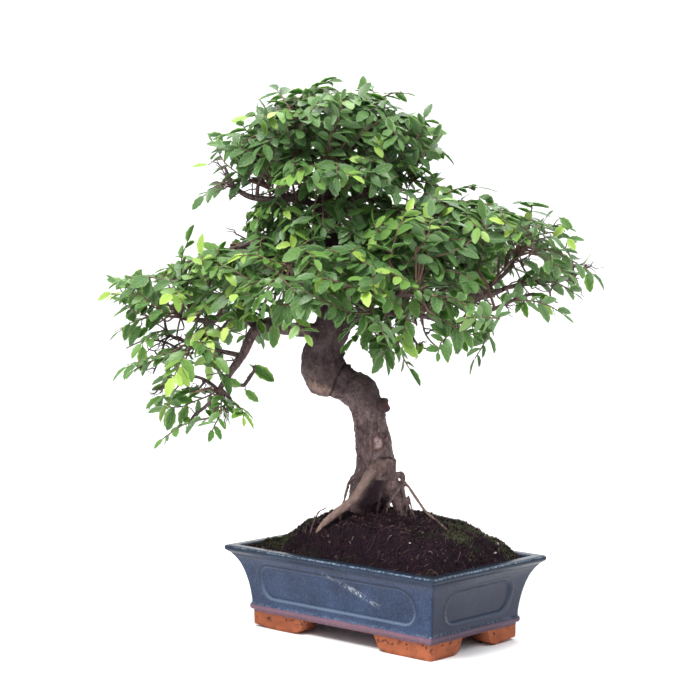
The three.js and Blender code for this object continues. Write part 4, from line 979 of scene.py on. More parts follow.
BARK_DARK = (0.048, 0.031, 0.031)
BARK_GREY = (0.174, 0.110, 0.113)
BARK_PALE = (0.30, 0.235, 0.22)
BARK_SHADE = (0.023, 0.011, 0.017)
ROOT_TAN = (0.36, 0.24, 0.185)
BARK_PIT = (0.016, 0.010, 0.010)
SCAR_EDGE = (0.10, 0.040, 0.032)
SCAR_PALE = (0.42, 0.33, 0.31)
FOLD_SHADE = (0.022, 0.014, 0.012)
bark_finish, tree, shader, where = new_material("elm_bark")
long_grain = add_node(tree, "ShaderNodeMapping",
                      {"Vector": where, "Scale": (1.0, 1.0, 0.55)}).outputs["Vector"]
bark = use_group(tree, blotches, Vector=long_grain, Scale=190.0, Contrast=3.2, Dark=BARK_DARK,
                 Light=BARK_GREY)
bark_colour = blend(tree, ramp(tree, noise(tree, where, 38.0, 3.0), [(0.45, 0.0), (0.7, 0.35)]),
                    bark["Color"], BARK_PALE)
lenticels = use_group(tree, specks, Vector=where, Scale=300.0, Cover=0.42)["Mask"]
bark_colour = blend(tree, maths(tree, "MULTIPLY", lenticels, 0.55), bark_colour, BARK_PALE)
bark_colour = blend(tree, maths(tree, "MULTIPLY", tone_of(tree, "tan"), 0.5), bark_colour, ROOT_TAN)
bark_colour = blend(tree, tone_of(tree, "shade"), bark_colour, BARK_SHADE)
crack = ramp(tree, noise(tree, long_grain, 330.0, 5.0, 0.7), [(0.36, 0.75), (0.46, 0.0)])
bark_colour = blend(tree, crack, bark_colour, BARK_DARK)
bark_pits = use_group(tree, specks, Vector=long_grain, Scale=150.0, Cover=0.20)["Mask"]
bark_colour = blend(tree, maths(tree, "MULTIPLY", bark_pits, 0.8), bark_colour, BARK_PIT)
root_colour = blend(tree, 0.28, ROOT_TAN, bark_colour)
bark_colour = blend(tree, maths(tree, "MULTIPLY", tone_of(tree, "root_bark"), 0.9), bark_colour, root_colour)
bark_colour = blend(tree, maths(tree, "MULTIPLY", tone_of(tree, "scar_rim"), 0.6), bark_colour, SCAR_EDGE)
scar_break = ramp(tree, noise(tree, where, 260.0, 4.0), [(0.38, 0.35), (0.56, 0.85)])
bark_colour = blend(tree, maths(tree, "MULTIPLY", tone_of(tree, "scar"), scar_break), bark_colour, SCAR_PALE)
# Painted shade in the crease of the fold and of the wrinkle.
bark_colour = blend(tree, maths(tree, "MULTIPLY", tone_of(tree, "fold"), 0.92), bark_colour, FOLD_SHADE)
tree.links.new(bark_colour, shader.inputs["Base Color"])
shader.inputs["Roughness"].default_value = 0.78
shader.inputs["Specular IOR Level"].default_value = 0.2
bark_swell = maths(tree, "ADD", bark["Height"], noise(tree, long_grain, 420.0, 4.0))
bark_height = maths(tree, "SUBTRACT", bark_swell, maths(tree, "ADD", crack, bark_pits))
set_bump(tree, shader, bark_height, 0.7, 0.0009)
wood.data.materials.clear()
wood.data.materials.append(bark_finish)
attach(wood, "root")
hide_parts("tree_wood")

# The foliage: thin brown shoots that leave the boughs and carry small toothed leaves in two
# ranks, each shoot ending in a leaf. A shoot of each solid follows that solid, and more
# shoots fill the clouds that the leaves make round the boughs.
# Clouds of leaves in the tree's frame: middle x, y, z, half sizes x, y, z, and fullness.
CLOUDS = np.array([
    (-48, 0, 474, 70, 62, 38, 1.2), (-108, -5, 449, 38, 44, 28, 1), (6, -5, 458, 34, 50, 33, 1.2),
    (-40, -20, 428, 66, 56, 28, 1.1), (-52, 0, 388, 70, 70, 34, 1), (-120, -5, 338, 70, 74, 32, 1),
    (-194, -5, 316, 52, 48, 30, 0.85), (-144, -26, 296, 36, 34, 22, 0.95), (-182, -30, 262, 42, 42, 32, 0.32),
    (-165, -44, 222, 36, 30, 24, 0.2), (-42, -72, 330, 84, 52, 38, 1.1), (40, -18, 372, 74, 74, 34, 1.1),
    (44, -20, 397, 34, 36, 20, 0.9), (102, -10, 371, 62, 62, 35, 0.7), (146, -6, 346, 30, 40, 26, 0.3),
    (0, -38, 290, 26, 22, 16, 0.8), (48, -56, 312, 54, 44, 36, 0.75), (-48, 76, 350, 96, 58, 40, 0.9),
    (52, 78, 344, 66, 50, 38, 0.8),
])
# The added shoots end on two shells of each cloud, each a share of its size with a pitch.
SHELLS = [(0.94, 27.0), (0.6, 31.0)]
# None ends deeper than this in another cloud, or where its shell faces down past the limit.
BURIED = 0.8
UNDERSIDE_LIMIT = -0.72
SHOOT_RUN = 42
SHOOT_LEAVES = 9
# On a solid: the length of its end leaf, and of the part that bears leaves.
SOLID_TIP_LEAF = 21
SOLID_LEAF_RUN = 77
LEAF_RINGS = 8
LEAF_LENGTHS = (13, 25)


def from_pot(points):
    """The way back from the pot's frame to the tree's."""
    x, y, z = np.moveaxis(points - POT_CENTRE, -1, 0)
    turned = [x * math.cos(TREE_TURN) + y * math.sin(TREE_TURN),
              y * math.cos(TREE_TURN) - x * math.sin(TREE_TURN), z]
    return np.stack(turned, -1)


# The photograph's camera, as the pot's edges give it: its turn, its place from the pot's
# middle, and its focal length in pixels of a picture 700 pixels wide.
PICTURE_WIDTH = 700
VIEW_YAW = math.radians(42.531)
VIEW_PITCH = math.radians(4.104)
VIEW_FROM = np.array([1179.67, -1331.83, 395.38])
VIEW_FOCUS = 1905.7
backward = np.array([math.sin(VIEW_YAW) * math.cos(VIEW_PITCH),
                     -math.cos(VIEW_YAW) * math.cos(VIEW_PITCH), math.sin(VIEW_PITCH)])
rightward = np.array([math.cos(VIEW_YAW), math.sin(VIEW_YAW), 0])
upward = np.cross(backward, rightward)


def sighted(across, down, depth):
    """Where lines of sight through places in the picture, in pixels from its left and its
    top, meet the upright plane at a depth in the tree's frame: x and z."""
    sight = ((across - PICTURE_WIDTH / 2)[:, None] * rightward
             + (PICTURE_WIDTH / 2 - down)[:, None] * upward - VIEW_FOCUS * backward)
    sight = from_pot(sight + POT_CENTRE)
    eye = from_pot(VIEW_FROM + POT_CENTRE)
    return eye[[0, 2]] + ((depth - eye[1]) / sight[:, 1])[:, None] * sight[:, [0, 2]]


def cloud_shell(middle, half, share, pitch, twist):
    """Points spread evenly over a smaller copy of a cloud: even steps in height, each turned
    by the golden angle from the one before, as many as the shell's area over the pitch's."""
    half = half * share
    powers = (half * np.roll(half, 1)) ** 1.6
    count = max(3, round(4 * math.pi * powers.mean() ** (1 / 1.6) / pitch**2))
    rise = 1 - 2 * (np.arange(count) + 0.5) / count
    turn = np.arange(count) * math.pi * (3 - math.sqrt(5)) + twist
    ring = np.sqrt(1 - rise**2)
    sphere = np.column_stack([ring * np.cos(turn), ring * np.sin(turn), rise])
    return middle + half * sphere, unit(sphere / half)


def shoot_targets():
    """Where the added shoots end: on each shell of each cloud, where no other cloud's own
    shell lies further out, and not underneath."""
    points = []
    outwards = []
    for number, cloud in enumerate(CLOUDS):
        for share, pitch in SHELLS:
            point, outward = cloud_shell(cloud[:3], cloud[3:6], share, pitch / math.sqrt(cloud[6]),
                                         number + share)
            depth = (((point[:, None] - CLOUDS[None, :, :3]) / CLOUDS[None, :, 3:6]) ** 2).sum(2)
            depth[:, number] = np.inf
            open_place = (depth.min(1) > BURIED * share**2) & (outward[:, 2] > UNDERSIDE_LIMIT)
            points.append(point[open_place])
            outwards.append(outward[open_place])
    return np.concatenate(points), np.concatenate(outwards)


bough_marks = np.concatenate([smooth_path(points, 6)[4:] for points in BOUGHS.values()])


def nearest_mark(points):
    """The place on a bough nearest to each point."""
    distance = np.linalg.norm(points[:, None] - bough_marks[None, :, :3], axis=2)
    return bough_marks[distance.argmin(1), :3]


def shoot_from_solid(node):
    """The shoot that a packed leafy stem stands for: from its corner nearest to a bough to
    its furthest corner, through the mean places of its corners between them. Its leaves
    lie in the plane that its corners lie closest to."""
    corners = np.empty(len(node.data.vertices) * 3, np.float32)
    node.data.vertices.foreach_get("co", corners)
    corners = from_pot(corners.reshape(-1, 3).astype(float) / MM)
    gaps = np.linalg.norm(corners[:, None] - bough_marks[None, :, :3], axis=2) - bough_marks[:, 3]
    bud = corners[gaps.min(1).argmin()]
    tip = corners[np.linalg.norm(corners - bud, axis=1).argmax()]
    length = np.linalg.norm(tip - bud)
    place = (corners - bud) @ (tip - bud) / length**2
    shares = np.linspace(0, 1 - SOLID_TIP_LEAF / length, 6)
    weights = np.exp(-((place[None] - shares[1:, None]) / 0.09) ** 2)
    middles = (weights @ corners) / weights.sum(1)[:, None]
    lateral = corners[place > 1 - SOLID_LEAF_RUN / length]
    flat = np.linalg.svd(lateral - lateral.mean(0))[2][2]
    flat = flat * (1 if flat[2] >= 0 else -1)
    leaf_start = max(0.05, (length - SOLID_LEAF_RUN) / (length - SOLID_TIP_LEAF))
    return np.concatenate([[bud], middles]), flat, leaf_start


stem_names = sorted(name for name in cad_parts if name.startswith("leafy_stem_"))
solid_shoots = [shoot_from_solid(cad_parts[name]) for name in stem_names]
solid_paths = np.stack([path for path, flat, leaf_start in solid_shoots], 1)
solid_faces = np.array([flat for path, flat, leaf_start in solid_shoots])
solid_starts = np.array([leaf_start for path, flat, leaf_start in solid_shoots])

target, outward = shoot_targets()
draw = np.random.default_rng(41)
target = target + draw.normal(0, 2.5, target.shape)
bud = nearest_mark(target - 0.45 * (target - nearest_mark(target)))
away = target - bud
away[:, 2] *= 0.5
away = unit(away)
heading = unit(away - 0.7 * (away * outward).sum(1, keepdims=True) * outward)
swing = draw.uniform(-0.7, 0.7, len(target))[:, None]
heading = unit(heading * np.cos(swing) + np.cross(outward, heading) * np.sin(swing))
reach = ((target - bud) * heading).sum(1)
before = np.clip(reach - 6, 0, SHOOT_RUN / 2)[:, None]
shoot_start = target - before * heading - 4 * outward
shoot_middle = target + (SHOOT_RUN / 2 - before) * heading
shoot_tip = target + (SHOOT_RUN - before) * heading - 5 * outward
elbow = shoot_start - 6 * heading
knee = (bud + elbow) / 2
knee[:, 2] += 0.12 * np.linalg.norm(elbow - bud, axis=1)
added_paths = np.stack([bud, knee, elbow, shoot_start, shoot_middle, shoot_tip])

paths = np.concatenate([solid_paths, added_paths], 1)
shoot_faces = np.concatenate([solid_faces, unit(0.7 * outward + (0, 0, 0.75))])
leaf_starts = np.concatenate([solid_starts, np.full(len(target), 0.58)])
shoots = smooth_path(paths, 4)
station_count, shoot_count, _ = shoots.shape

# The shoots' bark is thin, smooth and red-brown.
thickness = np.linspace(1.15, 0.5, station_count)[:, None] * draw.uniform(0.85, 1.15, shoot_count)
shoot_points, shoot_bands = tubes(shoots, thickness, 4)
twigs = make_piece("leafy_shoots", to_pot(shoot_points), shoot_bands)
twig_finish, tree, shader, where = new_material("shoot_bark")
twig = use_group(tree, blotches, Vector=where, Scale=140.0, Contrast=2.0,
                 Dark=(0.062, 0.031, 0.024), Light=(0.19, 0.105, 0.076))
tree.links.new(twig["Color"], shader.inputs["Base Color"])
shader.inputs["Roughness"].default_value = 0.7
twigs.data.materials.append(twig_finish)
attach(twigs, "root")


def leaf_outline(rings):
    """Half a leaf's width along its length, as shares of the length: the leaf stalk, then a
    sine arch that is widest before its middle and narrows to the tip, with a tooth at
    every second ring."""
    along = np.concatenate([[-0.13], np.linspace(0.015, 0.95, rings - 1)])
    blade = np.clip(along, 0, 1)
    half = 0.248 * np.sin(math.pi * blade**0.95) ** 0.64 * (1.06 - 0.14 * blade)
    teeth = np.where(np.arange(rings) % 2 == 0, 1.08, 0.92)
    half = np.maximum(half * teeth, 0.018)
    return along, half


def make_leaves(name, origins, directions, normals, lengths, folds, droops, ages):
    """Closed thin leaves. Each ring holds the right edge, the rib's top, the left edge and
    the rib's underside; the blade is folded up along its rib and bends down to its tip."""
    along, half = leaf_outline(LEAF_RINGS)
    count = len(origins)
    across = np.cross(normals, directions)
    x = np.append(np.repeat(along, 4), 1.0)
    y = np.append((half[:, None] * (1, 0, -1, 0)).ravel(), 0.0)
    is_rib_top = np.append(np.tile([0, 1, 0, 0], LEAF_RINGS), 0)
    is_rib_below = np.append(np.tile([0, 0, 0, 1], LEAF_RINGS), 0)
    height = folds[:, None] * np.abs(y) - droops[:, None] * np.maximum(x, 0) ** 2
    rise = height * lengths[:, None] + 0.12 * is_rib_top - 0.2 * is_rib_below
    points = (origins[:, None] + (x * lengths[:, None])[..., None] * directions[:, None]
              + (y * lengths[:, None])[..., None] * across[:, None] + rise[..., None] * normals[:, None])
    corner_count = 4 * LEAF_RINGS + 1
    last = 4 * (LEAF_RINGS - 1)
    bands = band_faces(LEAF_RINGS, 4)
    tips = np.array([[last + k, last + (k + 1) % 4, corner_count - 1] for k in range(4)])
    stalk_end = np.array([[3, 2, 1, 0]])
    shift = (np.arange(count) * corner_count)[:, None, None]
    groups = [(bands + shift).reshape(-1, 4), (tips + shift).reshape(-1, 3),
              (stalk_end + shift).reshape(-1, 4)]
    piece = make_piece(name, to_pot(points.reshape(-1, 3)), groups)
    mesh = piece.data
    is_below = [np.tile(np.arange(len(bands)) % 4 >= 2, count), np.tile([False, False, True, True], count),
                np.zeros(count, bool)]
    mesh.polygons.foreach_set("material_index", np.concatenate(is_below).astype(np.int32))
    ends = np.empty(len(mesh.edges) * 2, np.int32)
    mesh.edges.foreach_get("vertices", ends)
    slot = ends.reshape(-1, 2) % corner_count
    slot = np.where(slot == corner_count - 1, -1, slot % 4)
    first, second = slot.T
    lengthwise = (first == second) | (first == -1) | (second == -1)
    on_edge = np.isin(np.maximum(first, second), (0, 2))
    sharp = mesh.attributes.new("sharp_edge", "BOOLEAN", "EDGE")
    sharp.data.foreach_set("value", lengthwise & on_edge)
    loops = np.empty(len(mesh.loops), np.int32)
    mesh.loops.foreach_get("vertex_index", loops)
    leaf_map = np.column_stack([x, 0.5 + 0.5 * np.append(np.tile([1, 0, -1, 0], LEAF_RINGS), 0)])
    uv = mesh.uv_layers.new(name="leaf_map")
    uv.data.foreach_set("uv", leaf_map[loops % corner_count].astype(np.float32).ravel())
    set_tone(piece, "age", np.repeat(ages, corner_count))
    return piece


LEAF_DARK = (0.026, 0.062, 0.026)
LEAF_GREEN = (0.046, 0.118, 0.032)
LEAF_FRESH = (0.115, 0.235, 0.042)
LEAF_YOUNG = (0.330, 0.470, 0.075)
LEAF_BACK = (0.16, 0.27, 0.12)


def leaf_material(name, paleness, gloss):
    """Leaf green from old to young by the leaf's age, with paler ribs and sunken veins that
    run forward from the rib to the teeth."""
    material, tree, shader, where = new_material(name)
    age = tone_of(tree, "age")
    green = ramp(tree, age, [(0.0, LEAF_DARK), (0.35, LEAF_GREEN), (0.7, LEAF_FRESH), (1.0, LEAF_YOUNG)])
    green = blend(tree, ramp(tree, noise(tree, where, 90.0), [(0.4, 0.0), (0.7, 0.28)]), green, LEAF_FRESH)
    leaf_place = add_node(tree, "ShaderNodeUVMap", uv_map="leaf_map").outputs["UV"]
    axes = add_node(tree, "ShaderNodeSeparateXYZ", {0: leaf_place}).outputs
    aside = maths(tree, "ABSOLUTE", maths(tree, "SUBTRACT", axes["Y"], 0.5))
    swept = maths(tree, "SUBTRACT", maths(tree, "MULTIPLY", axes["X"], 9.0),
                  maths(tree, "MULTIPLY", aside, 4.5))
    wave = maths(tree, "PINGPONG", swept, 1.0)
    vein = ramp(tree, wave, [(0.0, 1.0), (0.16, 0.0)])
    rib = ramp(tree, aside, [(0.0, 1.0), (0.045, 0.0)])
    lines = maths(tree, "MAXIMUM", vein, rib)
    green = blend(tree, maths(tree, "MULTIPLY", lines, 0.28), green, LEAF_YOUNG)
    green = blend(tree, paleness, green, LEAF_BACK)
    tree.links.new(green, shader.inputs["Base Color"])
    shader.inputs["Roughness"].default_value = gloss
    shader.inputs["Specular IOR Level"].default_value = 0.4
    shader.inputs["Subsurface Weight"].default_value = 0.45
    shader.inputs["Subsurface Radius"].default_value = (0.7, 1.0, 0.4)
    shader.inputs["Subsurface Scale"].default_value = 0.0008
    puffed = maths(tree, "SUBTRACT", 1.0, lines)
    set_bump(tree, shader, puffed, 0.5, 0.0004)
    return material


leaf_top = leaf_material("leaf_top", 0.0, 0.42)
leaf_underside = leaf_material("leaf_underside", 0.45, 0.6)

rank = np.arange(SHOOT_LEAVES + 1)
share = (rank / SHOOT_LEAVES)[:, None]
place = (leaf_starts + (1 - leaf_starts) * share) * (station_count - 1)
place = np.clip(place + draw.uniform(-0.2, 0.2, place.shape) * (share < 1), 0, station_count - 1)
span = np.minimum(place.astype(int), station_count - 2)
part = (place - span)[..., None]
shoot_index = np.arange(shoot_count)[None]
origin = shoots[span, shoot_index] * (1 - part) + shoots[span + 1, shoot_index] * part
tangent = unit(shoots[span + 1, shoot_index] - shoots[span, shoot_index])
face = np.broadcast_to(shoot_faces[None], tangent.shape)
sideways = unit(np.cross(face, tangent))
is_terminal = (rank == SHOOT_LEAVES)[:, None]
hand = np.where((rank[:, None] + shoot_index) % 2 == 0, 1.0, -1.0)
spread = np.radians(draw.normal(56, 8, hand.shape)) * ~is_terminal
lean = draw.normal(0.05, 0.16, hand.shape)
direction = (np.cos(spread)[..., None] * tangent + (hand * np.sin(spread))[..., None] * sideways
             + lean[..., None] * face)
direction = unit(direction - (0, 0, 0.2))
tilt = 0.8 * face + draw.normal(0, 0.42, tangent.shape) + (0, 0, 0.45)
leaf_normal = unit(tilt - (tilt * direction).sum(-1, keepdims=True) * direction)
leaf_length = draw.uniform(*LEAF_LENGTHS, hand.shape) * (1 - 0.18 * np.abs(2 * share - 0.9))
fold_up = draw.uniform(0.12, 0.5, hand.shape)
bend_down = draw.uniform(0.0, 0.22, hand.shape)
# Places in the picture where the wood and the daylight behind it show between the leaves,
# given as pixels across and down, and the reach in millimetres within which an added
# shoot carries no leaf. They are taken to lie at one depth, to the whole millimetre.
BARE_DEPTH = -16
BARE_PLACES = np.array([
    (475, 296, 8), (490, 290, 8), (505, 284, 8), (520, 281, 8), (508, 274, 8), (516, 262, 8),
    (526, 252, 8), (535, 242, 8), (545, 234, 7), (537, 256, 9), (480, 308, 8), (495, 302, 8),
    (508, 305, 8), (325, 198, 10), (322, 210, 8), (333, 242, 8), (372, 197, 7), (388, 193, 7),
    (402, 190, 6), (262, 198, 8), (276, 200, 8), (292, 201, 8), (306, 203, 8), (297, 190, 8),
    (264, 183, 8), (250, 325, 8), (240, 338, 8), (228, 350, 8), (205, 320, 8), (190, 322, 7),
    (222, 322, 8), (130, 318, 6), (145, 322, 6), (160, 327, 6), (180, 344, 7), (195, 347, 7),
])
bare_middle = np.round(sighted(BARE_PLACES[:, 0], BARE_PLACES[:, 1], BARE_DEPTH))
leaf_middle = origin + 0.5 * leaf_length[..., None] * direction
from_bare = np.linalg.norm(leaf_middle[:, :, None, [0, 2]] - bare_middle, axis=-1)
plucked = (from_bare < BARE_PLACES[:, 2]).any(-1) & (leaf_middle[..., 1] < 24)
carried = ~plucked | (shoot_index < len(stem_names))
# Young shoots are brightest at their tips. They stand mostly at the left and at the front.
shoot_place = shoots[-1]
youth = draw.random(shoot_count) + 0.25 * (shoot_place[:, 0] < -70) * (shoot_place[:, 2] < 400)
youth = youth + 0.2 * (shoot_place[:, 1] < -45)
is_young = smooth_step(0.75, 1.15, youth)[None]
age = 0.10 + 0.32 * draw.random(hand.shape) + is_young * (0.18 + 0.5 * share**2)
# Painted light and shade: the low leaves at the left are made a little paler, for the light that comes
# through the open foliage there, and the leaves at the top a little darker, to tone down the light that falls
# on them.
age = age + 0.07 * (shoot_place[:, 0] < -90) * (shoot_place[:, 2] < 400)
age = np.clip(age - 0.07 * (shoot_place[:, 2] > 405), 0, 1)

shoot_middles = shoots[station_count * 2 // 3]
# The leaves go in five pieces by where their shoots stand.
region = np.select([shoot_middles[:, 2] > 400, shoot_middles[:, 0] < -92, shoot_middles[:, 0] > 36,
                    shoot_middles[:, 1] < -24], [0, 1, 2, 3], 4)
for number, name in enumerate(["crown_leaves", "left_leaves", "right_leaves", "front_leaves",
                               "back_leaves"]):
    here = np.flatnonzero(region == number)
    grown = carried & (region == number)
    leaves = make_leaves(name, origin[grown], direction[grown], leaf_normal[grown], leaf_length[grown],
                         fold_up[grown], bend_down[grown], age[grown])
    leaves.data.materials.append(leaf_top)
    leaves.data.materials.append(leaf_underside)
    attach(leaves, "root")
    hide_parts(*[stem_names[k] for k in here if k < len(stem_names)])


# Bare wood among the leaves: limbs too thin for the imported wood, seen where the foliage is
# open, and short twigs that turn at every bud.
BARE_LIMBS = {
    "crown_reach": [(-70, -8, 410, 3.2), (-96, -10, 408, 3.1), (-121, -10, 410, 2.8), (-136, -10, 418, 2.2),
                    (-143, -10, 429, 1.7), (-147, -10, 439, 1.2)],
    "crown_reach_fork": [(-117, -11, 411, 2), (-115, -12, 424, 1.6), (-109, -12, 434, 1.4),
                         (-101, -12, 441, 1)],
    "crown_reach_tip": [(-136, -11, 419, 1.3), (-146, -12, 423, 1), (-158, -12, 424, 0.7)],
    "low_left_end": [(-151, -38, 230, 2), (-163, -40, 218, 1.7), (-174, -40, 209, 1.4),
                     (-180, -40, 196, 0.8)],
    "low_right_fork": [(-118, -16, 255, 0.8), (-120, -16, 249, 1.4), (-126, -17, 240, 1.8),
                       (-131, -20, 236, 1.8), (-144, -32, 243, 1.8)],
    "low_spur": [(-149, -36, 234, 2), (-142, -31, 226, 1.9), (-139, -30, 219, 1.5), (-138, -30, 211, 1.1)],
    "low_spur_side": [(-139, -30, 219, 1.2), (-147, -30, 214, 0.8)],
    "mid_left_low": [(-130, -26, 264, 2.6), (-157, -20, 269, 2), (-176, -20, 271, 1.7), (-184, -20, 267, 1.2),
                     (-187, -20, 263, 0.9)],
    "mid_left_high": [(-157, -20, 269, 2), (-170, -16, 271, 2), (-180, -16, 276, 1.8), (-194, -16, 280, 1.6),
                      (-201, -16, 287, 1.4), (-203, -16, 297, 1.2)],
    "mid_left_reach": [(-186, -19, 267, 1.2), (-196, -17, 273, 1.1), (-207, -16, 277, 1),
                       (-223, -16, 277, 0.8), (-239, -16, 270, 0.6)],
    "mid_left_drop": [(-203, -17, 276, 1.1), (-206, -23, 263, 1), (-210, -24, 254, 0.9),
                      (-213, -24, 247, 0.7)],
    "low_mid_reach": [(-151, -37, 233, 1.9), (-163, -34, 242, 1.5), (-178, -34, 246, 1.3),
                      (-190, -34, 242, 1.1), (-201, -34, 238, 0.9), (-211, -34, 229, 0.6)],
    "low_mid_fork": [(-163, -34, 242, 1.3), (-170, -36, 234, 1), (-179, -36, 231, 0.7)],
    "right_reach": [(112, -12, 326, 2.2), (130, -10, 330, 2.2), (146, -8, 332, 2.1), (160, -8, 333, 1.7),
                    (173, -8, 335, 1.3), (181, -8, 340, 1), (189, -8, 343, 0.7)],
    "right_fan_high": [(141, -8, 331, 1.2), (133, -6, 340, 1), (127, -6, 350, 0.8), (123, -6, 357, 0.6)],
    "right_low_end": [(100, -46, 308, 1.8), (122, -32, 317, 1.7), (137, -20, 321, 1.5), (145, -20, 320, 1.2),
                      (153, -20, 317, 1), (161, -20, 313, 0.7)],
    "right_front_drop": [(71, -44, 299, 1.3), (76, -42, 302, 1.1), (79, -42, 296, 0.8)],
    "right_low_stub": [(72, -13, 314, 1.2), (80, -22, 312, 1.1), (84, -24, 313, 1), (87, -24, 318, 0.7)],
    "right_end_rise": [(172, -8, 335, 1.4), (176, -6, 343, 1.2), (174, -6, 354, 1), (169, -6, 363, 0.8)],
    "right_thin_rise": [(159, -8, 333, 1), (157, -6, 350, 0.8), (152, -6, 366, 0.6)],
    "under_twig": [(22, -36, 303, 1.1), (24, -40, 290, 1.1), (29, -40, 280, 1), (35, -40, 273, 0.9),
                   (45, -40, 272, 0.6)],
    "under_twig_right": [(36, -40, 302, 1), (38, -34, 288, 0.9), (44, -30, 278, 0.8), (54, -30, 270, 0.5)],
}
TWIG_COUNT = 170
TWIG_STATIONS = 8


def zigzags(starts, headings, lengths):
    """Paths that take a step of equal length at each station, each turned a little away
    from the heading at random."""
    steps = unit(headings[None] + draw.normal(0, 0.38, (TWIG_STATIONS - 1, len(starts), 3)))
    steps = steps * lengths[None, :, None] / (TWIG_STATIONS - 1)
    return starts[None] + np.concatenate([np.zeros((1, len(starts), 3)), np.cumsum(steps, 0)])


limb_marks = np.concatenate([smooth_path(points, 5) for points in BARE_LIMBS.values()])
open_marks = bough_marks[(bough_marks[:, 0] < -96) | (bough_marks[:, 0] > 44) | (bough_marks[:, 2] > 396)]
twig_marks = np.concatenate([limb_marks, open_marks])
mark = twig_marks[draw.integers(0, len(twig_marks), TWIG_COUNT)]
twig_heading = unit(mark[:, :3] - (-45, 0, 330)) * (1, 1.5, 0.6) + draw.normal(0, 0.75, (TWIG_COUNT, 3))
bare_paths = zigzags(mark[:, :3], unit(twig_heading), draw.uniform(9, 34, TWIG_COUNT))
fork_heading = unit(twig_heading + draw.normal(0, 0.9, twig_heading.shape))
fork_paths = zigzags(bare_paths[3], fork_heading, draw.uniform(5, 16, TWIG_COUNT))
bare_radius = np.linspace(0.95, 0.35, TWIG_STATIONS)[:, None] * draw.uniform(0.8, 1.25, TWIG_COUNT)
bare_parts = [limb(points, 5) for points in BARE_LIMBS.values()]
bare_parts.append(tubes(bare_paths, bare_radius, 5))
bare_parts.append(tubes(fork_paths, 0.6 * bare_radius, 5))

# Leaves that stand or hang alone at the edges, each on a thin stalk from the nearest shoot
# or limb, given as: foot and tip in the picture, across and down in pixels, the depth they
# are read at, how far the leaf then comes forward, and its age.
LOOSE_LEAVES = np.array([
    (380, 334, 379.5, 362, -30, 0, 0.45), (362, 335, 366, 351, -26, 0, 0.4),
    (410, 333, 411.5, 354, -34, 0, 0.5), (421, 343, 419, 352, -38, 0, 0.85),
    (372, 334, 373, 350, -22, 0, 0.3), (143, 346, 142, 367, -20, 0, 0.6),
    (171, 350, 158, 354, -26, 0, 0.6), (173, 352, 172, 366, -24, 0, 0.9),
    (193, 364, 179, 370, -30, 0, 0.35), (274, 324, 273, 349, -28, 0, 0.5),
    (252, 366, 274, 381, -10, 0, 0.4), (246, 390, 258.5, 402, -14, 0, 0.55),
    (227, 379, 241, 386, -36, 0, 0.6), (213, 398, 219, 413, -32, 0, 0.5),
    (206, 410, 213.5, 417, -30, 0, 0.3), (167, 409, 158, 402, -30, 0, 0.2),
    (174, 410, 168, 430, -34, 0, 0.4), (187, 406, 178, 424, -38, 0, 0.45),
    (183, 417, 192, 422, -36, 0, 0.7), (167, 386, 151, 388, -30, 0, 0.35),
    (141, 326, 127, 345, -16, 0, 0.3), (148, 328, 136, 338, -12, 0, 0.3),
    (584, 262, 592, 254, -4, 0, 0.7), (588, 272, 590, 292, -8, 0, 0.55),
    (569, 239, 585, 241, -2, 0, 0.35), (470, 323, 494, 331, -44, 0, 0.45),
    (474, 331, 482, 341, -42, 0, 0.3), (468, 331, 462, 341, -46, 0, 0.4),
    (460, 340, 466, 350, -40, 0, 0.5), (524, 302, 515, 311, -44, 0, 0.35),
    (525, 302, 525.5, 317, -42, 0, 0.6), (506, 292, 501, 300, -30, 0, 0.75),
    (364, 95, 362.5, 75, -10, 0, 0.35), (421, 134, 447, 131, -16, 0, 0.55),
    (418, 136.9, 432, 146, -12, 0, 0.3), (271, 203, 249, 206, -24, 0, 0.4),
    (276, 201, 288, 205, -20, 0, 0.25), (242, 135, 225, 136, -8, 0, 0.3),
    (247, 117, 231, 121, -10, 0, 0.85), (208, 165, 193, 167, -6, 0, 0.85),
    (223, 254, 201, 243, -20, 0, 0.6), (221, 250, 226, 240, -18, 0, 0.75),
    (292, 243, 278, 246, -30, 30, 0.9), (262, 120, 267, 136, -40, 4, 0.75),
    (270, 119, 279, 130, -40, 4, 0.75), (376, 133, 383, 148, -44, 12, 0.85),
    (375, 145, 383, 158, -44, 12, 0.85), (350, 160, 366, 161, -44, 14, 0.85),
    (397, 236, 415, 236, -48, 28, 0.85), (383, 236, 402, 224, -46, 30, 0.55),
    (440, 216, 452, 208, -40, 24, 0.85), (421, 217, 433, 220, -40, 24, 0.85),
    (451, 217, 469, 220, -40, 24, 0.7), (530, 213, 523, 222, -10, 4, 0.9),
    (487, 222, 503, 212, -10, 20, 0.35), (560, 218, 571, 228, -6, 0, 0.4),
    (545, 219, 552, 210, -6, 0, 0.3), (536, 232, 543, 217, -8, 12, 0.4),
    (568, 240, 574, 250, -10, 0, 0.9), (565, 226, 553, 237, -8, 0, 0.9),
    (480, 196, 492, 198, 0, 0, 0.3), (462, 200, 467, 194, -6, 0, 0.3),
])
LOOSE_LENGTH = 15
foot_across, foot_down, tip_across, tip_down, read_depth, comes_forward, loose_age = LOOSE_LEAVES.T
foot_place = sighted(foot_across, foot_down, read_depth)
loose_reach = np.round(sighted(tip_across, tip_down, read_depth) - foot_place)
foot_x, foot_z = np.round(foot_place).T
loose_foot = np.column_stack([foot_x, read_depth - comes_forward, foot_z])
drawn_length = np.linalg.norm(loose_reach, axis=1)
loose_length = np.maximum(drawn_length, LOOSE_LENGTH)
loose_direction = unit(np.column_stack(
    [loose_reach[:, 0], -np.sqrt(np.maximum(loose_length**2 - drawn_length**2, 1)), loose_reach[:, 1]]))
loose_tilt = np.array([0, -0.8, 0.55]) + draw.normal(0, 0.3, loose_foot.shape)
loose_normal = unit(loose_tilt - (loose_tilt * loose_direction).sum(1, keepdims=True) * loose_direction)
holds = np.concatenate([shoots[2:].reshape(-1, 3), limb_marks[:, :3], bough_marks[:, :3]])
